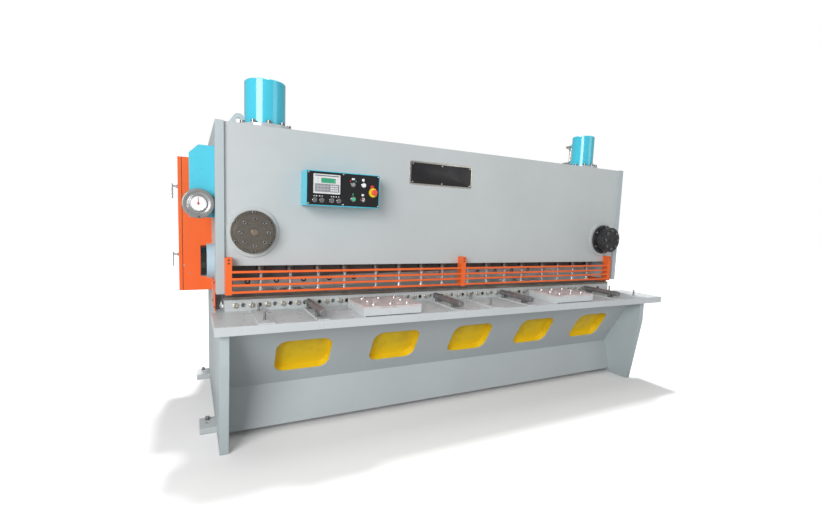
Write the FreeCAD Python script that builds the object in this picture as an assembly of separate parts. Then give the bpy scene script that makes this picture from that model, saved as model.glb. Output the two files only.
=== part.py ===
import FreeCAD
import Part
import math
import os
from FreeCAD import Vector as V

# Hydraulic guillotine shear. X runs along the blades, Y from front to back, Z up, millimetres.
# Everything is laid out from the front plate's outer face (y = 0), the floor (z = 0) and the
# middle of the machine (x = 0), and moved at the end so that the origin is the centre of the
# four anchor holes on the floor.

# ---------------------------------------------------------------- driving dimensions
inside_half = 1843.0        # half of the clear width between the side plates
side_t = 52.0               # side plate thickness
top_z = 2067.0              # top of the front beam
rear_y = 1400.0             # back edge of the side plates
table_top = 836.0           # work table surface
table_t = 55.0              # work table thickness
table_depth = 436.0         # front edge of the table to the bed
table_left = 81.0           # table beyond the clear width, left
table_right = 233.0         # table beyond the clear width, right
bed_front = 17.0            # bed face behind the front plate's face
bed_rise = 77.0             # bed block above the table
wear_t = 17.0               # steel wear plate on the bed
blade_y = 176.0             # cutting plane
blade_t = 20.0              # blade thickness
blade_h = 80.0              # blade height
blade_gap = 0.15            # gap between the two blades
blade_open = 25.0           # upper blade above the lower one at its low end, machine open
rake = 60.0                 # rise of the upper blade over its length
front_t = 40.0              # front plate thickness
opening_h = 309.0           # lower edge of the front plate above the table
edge_proud = 16.0           # side plates stand in front of the front plate
throat_h = 125.0            # throat height above the table
throat_y = 260.0            # straight depth of the throat
ram_t = 50.0                # ram plate thickness
ram_drop = 367.0            # top of the ram at rest below the beam's top
ram_side_gap = 53.0         # ram end to side plate
ram_travel = 100.0          # working stroke of the ram
cylinder_inset = 283.0      # main cylinder axis to side plate
cylinder_h = 330.0          # main cylinders above the front beam
left_cylinder_r = 137.0     # barrel radius, left
right_cylinder_r = 105.0    # barrel radius, right (series cylinder)
guide_inset = 176.0         # front guide axis to side plate
guide_rise = 225.0          # front guide axis above the front plate's lower edge
side_guide_rise = 15.0      # lateral guide axis above the front plate's lower edge
clamp_count = 16            # hold-down cylinders
clamp_y = 95.0              # hold-down axis
clamp_lift = 18.0           # hold-down foot above the wear plate, machine open
clamp_rod_r = 14.0          # hold-down plunger radius
window_count = 5            # windows in the apron
window_w = 382.0            # window width
window_h = 290.0            # window height, measured along the panel
window_r = 76.0             # window corner radius
roller_r = 23.0             # table roller radius
roller_rise = 69.0          # top of the table rollers above the table
roller_len = 395.0          # table roller length
post_w = 40.0               # finger guard post width
panel_w = 523.0             # control box width
panel_h = 232.0             # control box height
panel_d = 150.0             # control box depth
gauge_x = 1300.0            # back gauge arms, from the middle
gauge_rest = 700.0          # back gauge bar from the front plate's face, at rest
foot_w = 170.0              # floor lug, front to back
foot_out = 104.0            # floor lug, outwards
foot_front = 45.0           # front edge of the front lugs
foot_rear = 1145.0          # front edge of the rear lugs
anchor_r = 14.0             # anchor hole radius
fit = 0.05                  # radial running clearance of shafts and stems
clear = 0.5                 # clearance between parts that pass each other

# ---------------------------------------------------------------- places worked out from them
outer = inside_half + side_t
bed_top = table_top + bed_rise
cut_z = bed_top + wear_t
throat_top = table_top + throat_h
table_bottom = table_top - table_t
table_front = bed_front - table_depth
front_bottom = table_top + opening_h
guide_z = front_bottom + guide_rise
side_guide_z = front_bottom + side_guide_rise
roller_top = table_top + roller_rise
ram_top = top_z - ram_drop
cylinder_top = top_z + cylinder_h
ram_front = blade_y + blade_t
ram_axis = ram_front + ram_t / 2
ram_half = inside_half - ram_side_gap
cylinder_x = inside_half - cylinder_inset
guide_x = inside_half - guide_inset
anchor_mid_y = (foot_front + foot_rear) / 2 + foot_w / 2
UP = V(0, 0, 1)
BACK = V(0, 1, 0)
RIGHT = V(1, 0, 0)


def box(x0, x1, y0, y1, z0, z1):
    return Part.makeBox(x1 - x0, y1 - y0, z1 - z0, V(x0, y0, z0))


def rod(x, y, z, radius, length, axis=UP):
    return Part.makeCylinder(radius, length, V(x, y, z), axis)


def tube(x, y, z, radius, bore, length, axis=UP):
    return rod(x, y, z, radius, length, axis).cut(rod(x, y, z, bore, length, axis))


def plate_yz(points, x0, x1):
    """A plate with its outline in the YZ plane, from x0 to x1."""
    loop = [V(x0, y, z) for y, z in points]
    return Part.Face(Part.makePolygon(loop + loop[:1])).extrude(V(x1 - x0, 0, 0))


def plate_xz(points, y0, y1):
    """A plate with its outline in the XZ plane, from y0 to y1."""
    loop = [V(x, y0, z) for x, z in points]
    return Part.Face(Part.makePolygon(loop + loop[:1])).extrude(V(0, y1 - y0, 0))


def rounded(x, y, z, width, height, radius, depth):
    """A block along +Y whose XZ outline is a rectangle with round corners, centred on x and z."""
    block = box(x - width / 2, x + width / 2, y, y + depth, z - height / 2, z + height / 2)
    edges = [e for e in block.Edges if abs(e.tangentAt(e.FirstParameter).y) > 0.9]
    return block.makeFillet(radius, edges)


def joined(first, *others):
    return first.fuse(list(others)).removeSplitter()


def around(x, z, radius, count, start=0.0):
    """Points on a circle in the XZ plane."""
    turns = [start + 2 * math.pi * i / count for i in range(count)]
    return [(x + radius * math.cos(a), z + radius * math.sin(a)) for a in turns]


os.makedirs("parts", exist_ok=True)


def save(name, *shapes):
    shape = shapes[0] if len(shapes) == 1 else Part.makeCompound(list(shapes))
    shape = shape.copy()
    shape.translate(V(0, -anchor_mid_y, 0))
    shape.exportStep("parts/" + name + ".step")


# ---------------------------------------------------------------- side plates
leg_front = table_front + 49
leg_knee_z = table_bottom - 190
leg_toe = 90.0              # how far the leg's foot stands back from the knee
lateral_bore = 60.5
rear_gib_y = ram_front + ram_t + clear
gib_t, gib_w = 60.0, 100.0
gib_down = 90.0
gib_top = ram_top - 180
plate_over = 2.0            # side plates end this much above the front beam
side_cap_r = 107.0


def side_plate(side):
    """One side plate with its throat, floor lugs, rear gib and lateral guide bore."""
    x0, x1 = sorted((side * inside_half, side * outer))
    outline = [(leg_front + leg_toe, 0), (leg_front, leg_knee_z), (leg_front, table_bottom),
               (bed_front, table_bottom), (bed_front, table_top), (throat_y, table_top),
               (throat_y, throat_top), (-edge_proud, throat_top), (-edge_proud, top_z + plate_over),
               (rear_y, top_z + plate_over), (rear_y, 0)]
    plate = plate_yz(outline, x0, x1)
    throat_end = rod(x0, throat_y, table_top + throat_h / 2, throat_h / 2, side_t, RIGHT)
    bore = rod(x0, ram_axis, side_guide_z, lateral_bore, side_t, RIGHT)
    plate = plate.cut(throat_end).cut(bore)
    g0, g1 = sorted((side * inside_half, side * (inside_half - gib_w)))
    return joined(plate, box(g0, g1, rear_gib_y, rear_gib_y + gib_t, guide_z - gib_down, gib_top))


save("left_housing", side_plate(-1))
save("right_housing", side_plate(1))

# ---------------------------------------------------------------- floor lugs and levelling bolts
foot_t = 40.0
lug_hole_x = outer + foot_out / 2
level_dy = 48.0
shank_r = 12.0              # levelling bolts and cylinder bolts
lugs = []
for side in (-1, 1):
    for y in (foot_front, foot_rear):
        x0, x1 = sorted((side * outer, side * (outer + foot_out)))
        lug = box(x0, x1, y, y + foot_w, 0, foot_t)
        middle = y + foot_w / 2
        lug = lug.cut(rod(side * lug_hole_x, middle, 0, anchor_r, foot_t))
        lug = lug.cut(rod(side * lug_hole_x, middle + level_dy, 0, shank_r + clear, foot_t))
        lugs.append(lug)
save("feet", *lugs)

# ---------------------------------------------------------------- front beam
shelf_t = 40.0
shelf_y = 140.0
seat_t = 60.0
spigot_in = 30.0            # a cylinder's spigot is this much smaller in radius than its barrel
flange_lap = 46.0           # a cylinder's flange is this much larger in radius than its barrel
rib_t = 20.0
clamp_body_r = 34.0
ring_r = 165.0
ring_t = 14.0
guide_bore = 100.0
lug_t = 25.0
eye_r = 20.0
lug_w, lug_h = 244.0, 145.0
lug_gap = 4.0               # from the left cylinder's flange, and to the seat plate's edges
lug_y = ram_axis + left_cylinder_r + flange_lap + lug_gap
seat_y = lug_y + lug_t + lug_gap
eye_drop = 51.0
group = 4                                     # hold-downs come in groups of four
group_pitch = (inside_half * 2 - 220) / (clamp_count / group)
clamp_pitch = group_pitch * 0.2345


def clamp_places():
    first = -group_pitch * (clamp_count / group - 1) / 2
    middle = (group - 1) / 2
    return [first + g * group_pitch + (i - middle) * clamp_pitch
            for g in range(clamp_count // group) for i in range(group)]


def lifting_lug(side):
    """A plate welded on the beam, with blunt upper corners and a round eye."""
    middle = side * (inside_half - lug_gap - lug_w / 2)
    top = top_z + lug_h
    half = [(lug_w / 2, top_z), (29, top - 10), (16, top)]
    points = [(middle - x, z) for x, z in half] + [(middle + x, z) for x, z in reversed(half)]
    eye = rod(middle, lug_y, top - eye_drop, eye_r, lug_t, BACK)
    return plate_xz(points, lug_y, lug_y + lug_t).cut(eye)


# the beam's plates are separate solids that touch at their welds
face_plate = box(-inside_half, inside_half, 0, front_t, front_bottom, top_z)
top_plate = box(-inside_half, inside_half, front_t, seat_y, top_z - seat_t, top_z)
shelf = box(-inside_half, inside_half, front_t, shelf_y, front_bottom, front_bottom + shelf_t)
ribs = [box(x - rib_t / 2, x + rib_t / 2, front_t, shelf_y - 10, front_bottom + shelf_t,
            top_z - seat_t)
        for x in (-group_pitch, 0, group_pitch)]
rings = []
for side in (-1, 1):
    rings.append(tube(side * guide_x, -ring_t, guide_z, ring_r, guide_bore, ring_t, BACK))
    face_plate = face_plate.cut(rod(side * guide_x, 0, guide_z, guide_bore, front_t, BACK))
    spigot_r = (left_cylinder_r if side < 0 else right_cylinder_r) - spigot_in
    top_plate = top_plate.cut(rod(side * cylinder_x, ram_axis, top_z - seat_t, spigot_r + clear,
                                  seat_t))
for x in clamp_places():
    shelf = shelf.cut(rod(x, clamp_y, front_bottom, clamp_body_r + clear, shelf_t))
save("front_plate", face_plate, top_plate, shelf, lifting_lug(-1), lifting_lug(1), *ribs, *rings)

# ---------------------------------------------------------------- bed, wear plate, lower blade
block_y = blade_y - blade_t
web_y0, web_y1 = 70.0, 120.0
apron_t = 7.0
apron_top_y = -270.0
crease_y, crease_z = 0.0, 314.0
sill_y0, sill_y1 = 20.0, 320.0                # the bed's bottom plate
sill_z0, sill_z1 = 110.0, 150.0
rear_rib_top = table_bottom - 81
apron_slope = (crease_y - apron_top_y) / (table_bottom - crease_z)
window_pitch = inside_half * 2 / 5.319


def window_places():
    return [36 + (i - (window_count - 1) / 2) * window_pitch for i in range(window_count)]


def front_rib(x):
    """A gusset under the table, between the apron and the bed's web."""
    low = crease_z + 32
    points = [(apron_top_y + apron_t + 8, table_bottom), (web_y0, table_bottom), (web_y0, low),
              (crease_y - apron_slope * (low - crease_z) + apron_t + 8, low)]
    return plate_yz(points, x - 8, x + 8)


def rear_rib(x):
    points = [(web_y1, sill_z1), (sill_y1, sill_z1), (web_y1, rear_rib_top)]
    return plate_yz(points, x - rib_t / 2, x + rib_t / 2)


rib_places = [x + window_pitch / 2 for x in window_places()[:-1]]
bed = joined(box(-inside_half, inside_half, bed_front, block_y, table_bottom, bed_top),
             box(-inside_half, inside_half, web_y0, web_y1, sill_z0, table_bottom),
             box(-inside_half, inside_half, sill_y0, sill_y1, sill_z0, sill_z1),
             *[front_rib(x) for x in rib_places], *[rear_rib(x) for x in rib_places])
bolt_pitch = 51.8
bolt_r, bolt_head = 17.5, 9.0
thread_r = 6.0
drain_r = 15.0                                # open holes between the bed's bolts
bed_bolt_z = table_top + 39
bolt_places = [-inside_half + 67 + i * bolt_pitch * 2
               for i in range(int((inside_half * 2 - 80) / (bolt_pitch * 2)))]
for x in bolt_places:
    bed = bed.cut(rod(x, bed_front, bed_bolt_z, thread_r + clear, 40, BACK))
for x in bolt_places[::2]:
    bed = bed.cut(rod(x + bolt_pitch, bed_front, bed_bolt_z, drain_r, 35, BACK))
save("bed", bed)
save("bed_bolts", *[joined(rod(x, bed_front - bolt_head, bed_bolt_z, bolt_r, bolt_head, BACK),
                           rod(x, bed_front, bed_bolt_z, thread_r, 39, BACK)) for x in bolt_places])
save("bed_top_plate", box(-inside_half, inside_half, bed_front + 5, block_y, bed_top, cut_z))
save("lower_blade", box(-inside_half + 30, inside_half - 30, block_y, blade_y,
                        cut_z - blade_h, cut_z))

# ---------------------------------------------------------------- work table
strip_t = 6.0
strip_gap = 12.0
bay = (inside_half * 2 - 236) / 2             # the table's pattern repeats over one bay
pin_x0 = -inside_half + 208
pin_strips = [pin_x0 + i * bay for i in range(3)]
roller_places = [pin_x0 + dx + i * bay for i in range(2) for dx in (0.2 * bay, 0.805 * bay)]
ball_places = [pin_x0 + 0.484 * bay + i * bay for i in range(2)]


def strip(x, width):
    return box(x - width / 2, x + width / 2, table_front + strip_gap, bed_front - strip_gap,
               table_top, table_top + strip_t)


table = joined(box(-inside_half - table_left, inside_half + table_right, table_front, bed_front,
                   table_bottom, table_top),
               *[strip(x, 100) for x in pin_strips], *[strip(x, 76) for x in roller_places])
save("work_table", table)

# ---------------------------------------------------------------- ball plates and balls
plate_w, plate_d = 430.0, 340.0
plate_h = 67.0
ball_r = 14.0
ball_dx, ball_dy = 128.0, 110.0
ball_cy = bed_front - 246
plates, balls = [], []
for x in ball_places:
    tray = box(x - plate_w / 2, x + plate_w / 2, ball_cy - plate_d / 2, ball_cy + plate_d / 2,
               table_top, table_top + plate_h)
    tray = tray.cut(box(x - plate_w / 2 + 5, x + plate_w / 2 - 5, ball_cy - plate_d / 2 + 5,
                        ball_cy + plate_d / 2 - 5, table_top, table_top + plate_h - 40))
    for i in (-1, 0, 1):
        for j in (-1, 0, 1):
            if i or j:
                centre = V(x + i * ball_dx, ball_cy + j * ball_dy, table_top + plate_h + 2)
                tray = tray.cut(Part.makeSphere(ball_r + 0.3, centre))
                balls.append(Part.makeSphere(ball_r, centre))
    plates.append(tray)
save("ball_plates", *plates)
save("transfer_balls", *balls)

# ---------------------------------------------------------------- table rollers, saddles and pins
roller_z = roller_top - roller_r
roller_y0 = bed_front - 20 - roller_len
saddle_w = 58.0


def saddle(x, y):
    """A forked bearing block that carries the roller from below."""
    base = table_top + strip_t
    block = box(x - saddle_w / 2, x + saddle_w / 2, y - 11, y + 11, base, roller_z + 4)
    slot = box(x - roller_r - fit, x + roller_r + fit, y - 11, y + 11, roller_z, roller_z + 4)
    relief = box(x - 14, x + 14, y - 11, y + 11, base + 10, roller_z - 12)
    return block.cut(rod(x, y - 11, roller_z, roller_r + fit, 22, BACK)).cut(slot).cut(relief)


for number, x in enumerate(roller_places, 1):
    body = rod(x, roller_y0, roller_z, roller_r, roller_len, BACK)
    ends = [e for e in body.Edges if e.Closed]
    save("table_roller_%d" % number, body.makeChamfer(2.5, ends))
pin_dy = (bed_front - 45, bed_front - 323)
pins = [joined(rod(x, y, table_top + strip_t, 7, 52), rod(x, y, table_top + strip_t, 11, 6))
        for x in pin_strips for y in pin_dy]
saddles = [saddle(x, y) for x in roller_places for y in (bed_front - 85, bed_front - 330)]
save("table_posts", *(saddles + pins))

# ---------------------------------------------------------------- apron with windows, yellow trays
apron_foot_y, apron_foot_z = -76.0, 38.0
profile = [(apron_top_y, table_bottom), (crease_y, crease_z), (apron_foot_y, apron_foot_z),
           (apron_foot_y + apron_t, apron_foot_z), (crease_y + apron_t, crease_z),
           (apron_top_y + apron_t, table_bottom)]
lean = math.degrees(math.atan(apron_slope))
window_z = (table_bottom + crease_z) / 2 - 12
window_y = crease_y - apron_slope * (window_z - crease_z)
tray_depth = 55.0
tray_wall = 4.0
skin = apron_t * math.cos(math.radians(lean))      # thickness square to the upper panel


def on_panel(block):
    """Tip a block that stands on the XZ plane at y = 0 so that it sits square on the upper panel."""
    block = block.copy()
    block.rotate(V(0, 0, 0), RIGHT, lean)
    block.translate(V(0, window_y, window_z))
    return block


apron = plate_yz(profile, -inside_half, inside_half)
trays = []
for x in window_places():
    apron = apron.cut(on_panel(rounded(x, -20, 0, window_w, window_h, window_r, 60)))
    hollow_d = tray_depth - tray_wall
    rim = rounded(x, skin, 0, window_w + 2 * tray_wall, window_h + 2 * tray_wall,
                  window_r + tray_wall, hollow_d)
    rim = rim.cut(rounded(x, skin, 0, window_w, window_h, window_r, hollow_d))
    floor = rounded(x, skin + hollow_d, 0, window_w + 2 * tray_wall, window_h + 2 * tray_wall,
                    window_r + tray_wall, tray_wall)
    trays += [on_panel(rim), on_panel(floor)]
save("apron", apron)
save("apron_liner", *trays)

# ---------------------------------------------------------------- throat guards and finger guard
guard_y = -66.0
guard_d = 10.0
guard_bars = [front_bottom - drop for drop in (35, 81, 123, 169)]
throat_guard_t = 4.0
throat_guard_y = 85.0
bar_h = 15.0
post_x = [-inside_half + post_w / 2 + clear, -18.0, inside_half - 84 - post_w / 2]
post_bottom = throat_top - 1
post_top = front_bottom + 58
screw_dz = 22.0
throat_guards = []
guard_top = side_guide_z - side_cap_r - 18
for side in (-1, 1):
    x0, x1 = sorted((side * outer, side * (outer + throat_guard_t)))
    throat_guards.append(box(x0, x1, throat_guard_y, throat_y + 120, table_top - 10, guard_top))
save("throat_guards", *throat_guards)


def post(x):
    """A U-shaped post, closed at the front; its upper end is screwed to the front plate."""
    body = box(x - post_w / 2, x + post_w / 2, guard_y, 0, post_bottom, post_top)
    inside = box(x - post_w / 2 + 6, x + post_w / 2 - 6, guard_y + guard_d, -8, post_bottom, post_top)
    open_back = box(x - post_w / 2 + 6, x + post_w / 2 - 6, -8, 0, post_bottom, front_bottom)
    return body.cut(inside).cut(open_back)


bars = [box(x0 + post_w / 2, x1 - post_w / 2, guard_y, guard_y + guard_d, z - bar_h / 2,
            z + bar_h / 2) for x0, x1 in zip(post_x, post_x[1:]) for z in guard_bars]
save("finger_guard", *[post(x) for x in post_x], *bars)

# ---------------------------------------------------------------- ram, upper blade, piston rods
blade_low = cut_z + blade_open
blade_half = ram_half - 10
slope = rake / (2 * blade_half)


def rising(x, height):
    """Height above the floor of the upper blade's edge at x, plus height."""
    return blade_low + (x + blade_half) * slope + height


def raked_bar(x0, x1, y0, y1, low, high):
    points = [(x0, rising(x0, low)), (x1, rising(x1, low)), (x1, rising(x1, high)),
              (x0, rising(x0, high))]
    return plate_xz(points, y0, y1)


ram_plate = plate_xz([(-ram_half, rising(-ram_half, 8)), (ram_half, rising(ram_half, 8)),
                      (ram_half, ram_top), (-ram_half, ram_top)], ram_front, ram_front + ram_t)
ram_cap_d, ram_cap_t = 84.0, 40.0             # flange along the ram's top
pad_w, pad_down = 140.0, 130.0                # rails that the front guides bear on
pad_top = ram_top - 100
seat_w, seat_h = 190.0, 60.0                  # blocks under the piston rods
rib_y = ram_front + ram_t + ram_cap_d
ram = joined(ram_plate,
             box(-ram_half, ram_half, ram_front + ram_t, rib_y, ram_top - ram_cap_t, ram_top),
             *[box(side * guide_x - pad_w / 2, side * guide_x + pad_w / 2, blade_y, ram_front,
                   guide_z - pad_down, pad_top) for side in (-1, 1)],
             *[plate_yz([(ram_front + ram_t, guide_z - 120), (ram_front + ram_t + 30, guide_z - 120),
                         (rib_y, ram_top - ram_cap_t), (ram_front + ram_t, ram_top - ram_cap_t)],
                        x - rib_t / 2, x + rib_t / 2)
               for x in [(i - 3) * ram_half * 0.28 for i in range(7)]],
             *[box(side * cylinder_x - seat_w / 2, side * cylinder_x + seat_w / 2, ram_axis - 70,
                   ram_axis + 70, ram_top - seat_h, ram_top) for side in (-1, 1)])
save("ram", ram)
save("upper_blade", raked_bar(-blade_half, blade_half, blade_y + blade_gap, ram_front, 0, blade_h))

piston_top = cylinder_top - 40
piston_h = 60.0
barrel_t = 22.0             # wall of a main cylinder
stroke_spare = 60.0         # oil left under the piston at the end of the stroke
chamber_z = piston_top - piston_h - ram_travel - stroke_spare
rods = []
for side, barrel_r in ((-1, left_cylinder_r), (1, right_cylinder_r)):
    bore_r, rod_r = barrel_r - barrel_t, barrel_r * 0.54
    x = side * cylinder_x
    rods.append(joined(rod(x, ram_axis, ram_top, rod_r, piston_top - ram_top - 5),
                       rod(x, ram_axis, piston_top - piston_h, bore_r - fit, piston_h - 5)))
save("piston_rods", *rods)

# ---------------------------------------------------------------- main cylinders and their bolts
flange_t = 30.0
head_r, head_h = 15.0, 20.0
port_r, port_len = 22.0, 45.0
flange_bolts = 10
cylinder_bolts = []


def main_cylinder(side, barrel_r):
    """A flanged barrel with its spigot in the front beam, gland below and closed cap above."""
    x, flange_r = side * cylinder_x, barrel_r + flange_lap
    bore_r, rod_r = barrel_r - barrel_t, barrel_r * 0.54
    body = joined(rod(x, ram_axis, top_z, flange_r, flange_t),
                  rod(x, ram_axis, top_z - seat_t, barrel_r - spigot_in, seat_t),
                  rod(x, ram_axis, top_z, barrel_r, cylinder_top - top_z),
                  rod(x, ram_axis + barrel_r - 10, cylinder_top - 70, port_r, port_len, BACK),
                  rod(x, ram_axis + barrel_r - 10, chamber_z + port_r, port_r, port_len, BACK))
    lip = [e for e in body.Edges if e.Closed and e.BoundBox.ZMin > cylinder_top - 1]
    body = body.makeChamfer(5, lip)
    body = body.cut(rod(x, ram_axis, top_z - seat_t, rod_r + fit, chamber_z - top_z + seat_t))
    body = body.cut(rod(x, ram_axis, chamber_z, bore_r, piston_top - chamber_z))
    for bx, by in around(x, ram_axis, barrel_r + 26, flange_bolts, math.radians(18)):
        body = body.cut(rod(bx, by, top_z, shank_r + clear, flange_t))
        cylinder_bolts.append(joined(rod(bx, by, top_z + flange_t, head_r, head_h),
                                     rod(bx, by, top_z, shank_r, flange_t)))
    return body


save("main_cylinder_left", main_cylinder(-1, left_cylinder_r))
save("main_cylinder_right", main_cylinder(1, right_cylinder_r))
for side in (-1, 1):
    for y in (foot_front, foot_rear):
        x, bolt_y = side * lug_hole_x, y + foot_w / 2 + level_dy
        cylinder_bolts.append(joined(rod(x, bolt_y, foot_t, head_r, head_h),
                                     rod(x, bolt_y, 0, shank_r, foot_t)))
save("cylinder_bolts", *cylinder_bolts)

# ---------------------------------------------------------------- front guides and lateral caps
flange_r = 142.0
guide_flange_t = 22.0
boss_r = 119.0
boss_out = {-1: 46.0, 1: 84.0}                # how far the raised cylinder stands out
small_head_r, small_head_h = 11.0, 12.0
small_r, small_len = 8.0, 18.0
pad_r = 60.0                # slide pad of a front guide
hub_face_r, hub_face_t = 24.0, 6.0
side_ring_t, side_cap_t = 48.0, 37.0
guide_bolts = []


def front_guide(side):
    """Flange, raised cylinder and the slide pad that bears on the ram's front rail."""
    x, face = side * guide_x, -ring_t - guide_flange_t
    body = joined(rod(x, face, guide_z, flange_r, guide_flange_t, BACK),
                  rod(x, face - boss_out[side], guide_z, boss_r, boss_out[side], BACK),
                  rod(x, -ring_t, guide_z, guide_bore - clear, ring_t + front_t, BACK),
                  rod(x, front_t, guide_z, pad_r, blade_y - clear - front_t, BACK),
                  rod(x, face - boss_out[side] - hub_face_t, guide_z, hub_face_r, hub_face_t, BACK))
    front = face - boss_out[side]
    rim = [(p, face - small_head_h, face) for p in around(x, guide_z, 130.5, 6, math.radians(30))]
    cap = [(p, front - small_head_h, front) for p in around(x, guide_z, 88, 8)]
    for (bx, bz), y0, y1 in rim + cap:
        body = body.cut(rod(bx, y1, bz, small_r + clear, small_len + 2, BACK))
        guide_bolts.append(joined(rod(bx, y0, bz, small_head_r, small_head_h, BACK),
                                  rod(bx, y1, bz, small_r, small_len, BACK)))
    return body


save("front_guide_left", front_guide(-1))
save("front_guide_right", front_guide(1))
save("guide_bolts", *guide_bolts)


def side_cap(side):
    """Lateral guide: ring and cap outside, spigot through the side plate, pad at the ram's end."""
    out = RIGHT * side
    start = side * (ram_half + clear)
    return joined(rod(start, ram_axis, side_guide_z, lateral_bore - clear,
                      outer - ram_half - clear, out),
                  rod(side * outer, ram_axis, side_guide_z, side_cap_r + 12, side_ring_t, out),
                  rod(side * (outer + side_ring_t), ram_axis, side_guide_z, side_cap_r, side_cap_t,
                      out))


save("side_caps", side_cap(-1), side_cap(1))

# ---------------------------------------------------------------- hold-down cylinders and plungers
foot_low = cut_z + clamp_lift
foot_r, foot_h = 24.0, 20.0
clamp_low = front_bottom - 40
clamp_high = front_bottom + shelf_t + 60
clamps, plungers = [], []
for x in clamp_places():
    body = rod(x, clamp_y, clamp_low, clamp_body_r, clamp_high - clamp_low)
    rim = rod(x, clamp_y, front_bottom + shelf_t, clamp_body_r + 10, 14)
    bore = rod(x, clamp_y, clamp_low, clamp_rod_r + fit, clamp_high - clamp_low - 25)
    clamps.append(joined(body, rim).cut(bore))
    plungers.append(joined(rod(x, clamp_y, foot_low, foot_r, foot_h),
                           rod(x, clamp_y, foot_low, clamp_rod_r, clamp_low + 60 - foot_low)))
save("hold_down_cylinders", *clamps)
save("hold_down_plungers", *plungers)

# ---------------------------------------------------------------- control panel
panel_x = -inside_half + 752
panel_z = top_z - 389
panel_wall = 6.0
face_y = -panel_d - 2
face_t = 5.0
bezel_h = 5.0
half_w, half_h = panel_w / 2, panel_h / 2
shell = box(panel_x - half_w, panel_x + half_w, -panel_d, 0, panel_z - half_h, panel_z + half_h)
shell = shell.cut(box(panel_x - half_w + panel_wall, panel_x + half_w - panel_wall, -panel_d, -4,
                      panel_z - half_h + panel_wall, panel_z + half_h - panel_wall))
save("panel_box", shell)

# name: place on the face (x and z from the panel's middle), cap radius, cap height
caps = {"jog_button_1": (-205, -79, 11, 12), "jog_button_2": (-157, -79, 11, 12),
        "jog_button_3": (-88, -79, 11, 12), "jog_button_4": (-39, -79, 11, 12),
        "start_button": (65, -61, 13, 14), "lamp_button": (140, 39, 14, 14)}
turners = {"mode_selector": (63, 37, 13), "key_switch": (136, -62, 12)}
stop_x, stop_z = panel_x + 213, panel_z - 8
stem_r = 6.0
face = box(panel_x - half_w + panel_wall, panel_x + half_w - panel_wall, face_y, face_y + face_t,
           panel_z - half_h + panel_wall, panel_z + half_h - panel_wall)
bezels, holes = [], []
for dx, dz, cap_r, _ in caps.values():
    bezels.append(rod(panel_x + dx, face_y - bezel_h, panel_z + dz, cap_r + 4, bezel_h, BACK))
    holes.append(rod(panel_x + dx, face_y - bezel_h, panel_z + dz, cap_r + clear, bezel_h, BACK))
    holes.append(rod(panel_x + dx, face_y, panel_z + dz, stem_r + fit, face_t, BACK))
for dx, dz, cap_r in turners.values():
    bezels.append(rod(panel_x + dx, face_y - bezel_h, panel_z + dz, cap_r + 3, bezel_h, BACK))
    holes.append(rod(panel_x + dx, face_y - bezel_h, panel_z + dz, stem_r + fit,
                     face_t + bezel_h, BACK))
holes.append(rod(stop_x, face_y, stop_z, stem_r + fit, face_t, BACK))
stop_ring = tube(stop_x, face_y - 4, stop_z, 32, 13, 4, BACK)
face = joined(face, stop_ring, *bezels)
for hole in holes:
    face = face.cut(hole)
save("panel_face", face)

for name, (dx, dz, cap_r, cap_h) in caps.items():
    x, z = panel_x + dx, panel_z + dz
    cap = rod(x, face_y - cap_h, z, cap_r, cap_h - 4.5, BACK)
    rim = [e for e in cap.Edges if e.Closed and e.BoundBox.YMax < face_y - cap_h + 1]
    save(name, joined(cap.makeChamfer(1.5, rim), rod(x, face_y - 4.5, z, stem_r, 24, BACK)))

for name, (dx, dz, cap_r) in turners.items():
    x, z = panel_x + dx, panel_z + dz
    low = face_y - bezel_h - clear
    knob = rod(x, low - 8, z, cap_r, 8, BACK)
    grip_w, grip_t = (8, 12) if name == "mode_selector" else (2.5, 22)
    grip = box(x - grip_w / 2, x + grip_w / 2, low - 8 - grip_t, low - 8,
               z - cap_r + 1, z + cap_r - 1)
    save(name, joined(knob, grip, rod(x, low, z, stem_r, 24, BACK)))

stop_travel = 5.0
mushroom = rod(stop_x, face_y - 36, stop_z, 21, 14, BACK)
rim = [e for e in mushroom.Edges if e.Closed and e.BoundBox.YMax < face_y - 35]
save("emergency_stop", joined(mushroom.makeFillet(5, rim),
                              rod(stop_x, face_y - 22, stop_z, 12, 22 - 4.5 - stop_travel, BACK),
                              rod(stop_x, face_y - 22, stop_z, stem_r, 42, BACK)))

unit = rounded(panel_x - 124, face_y - 14, panel_z + 29, 182, 129, 3, 14)
glass = (panel_x - 124 - 41, panel_x - 124 + 59, panel_z + 36, panel_z + 68)
unit = unit.cut(box(glass[0], glass[1], face_y - 14, face_y - 11, glass[2], glass[3]))
pad = (panel_x - 124 - 84, panel_x - 124 + 84, panel_z - 24, panel_z + 29)
unit = unit.cut(box(pad[0], pad[1], face_y - 14, face_y - 12, pad[2], pad[3]))
save("operator_unit", unit)

# ---------------------------------------------------------------- small socket screws
screw_r, screw_h = 5.0, 5.0
screws = []
for dx in (-half_w + 13, -10, half_w - 13):
    for dz in (-half_h + 13, half_h - 13):
        screws.append(rod(panel_x + dx, face_y - screw_h, panel_z + dz, screw_r, screw_h, BACK))
for x in post_x:
    for dz in (14, 14 + screw_dz):
        screws.append(rod(x, guard_y - screw_h, post_top - dz, screw_r, screw_h, BACK))
for side in (-1, 1):
    for y in (throat_guard_y + 12, throat_y + 108):
        for z in (table_top + 20, guard_top - 12):
            x = side * (outer + throat_guard_t)
            screws.append(rod(x, y, z, screw_r, screw_h, RIGHT * side))
save("socket_screws", *screws)

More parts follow.
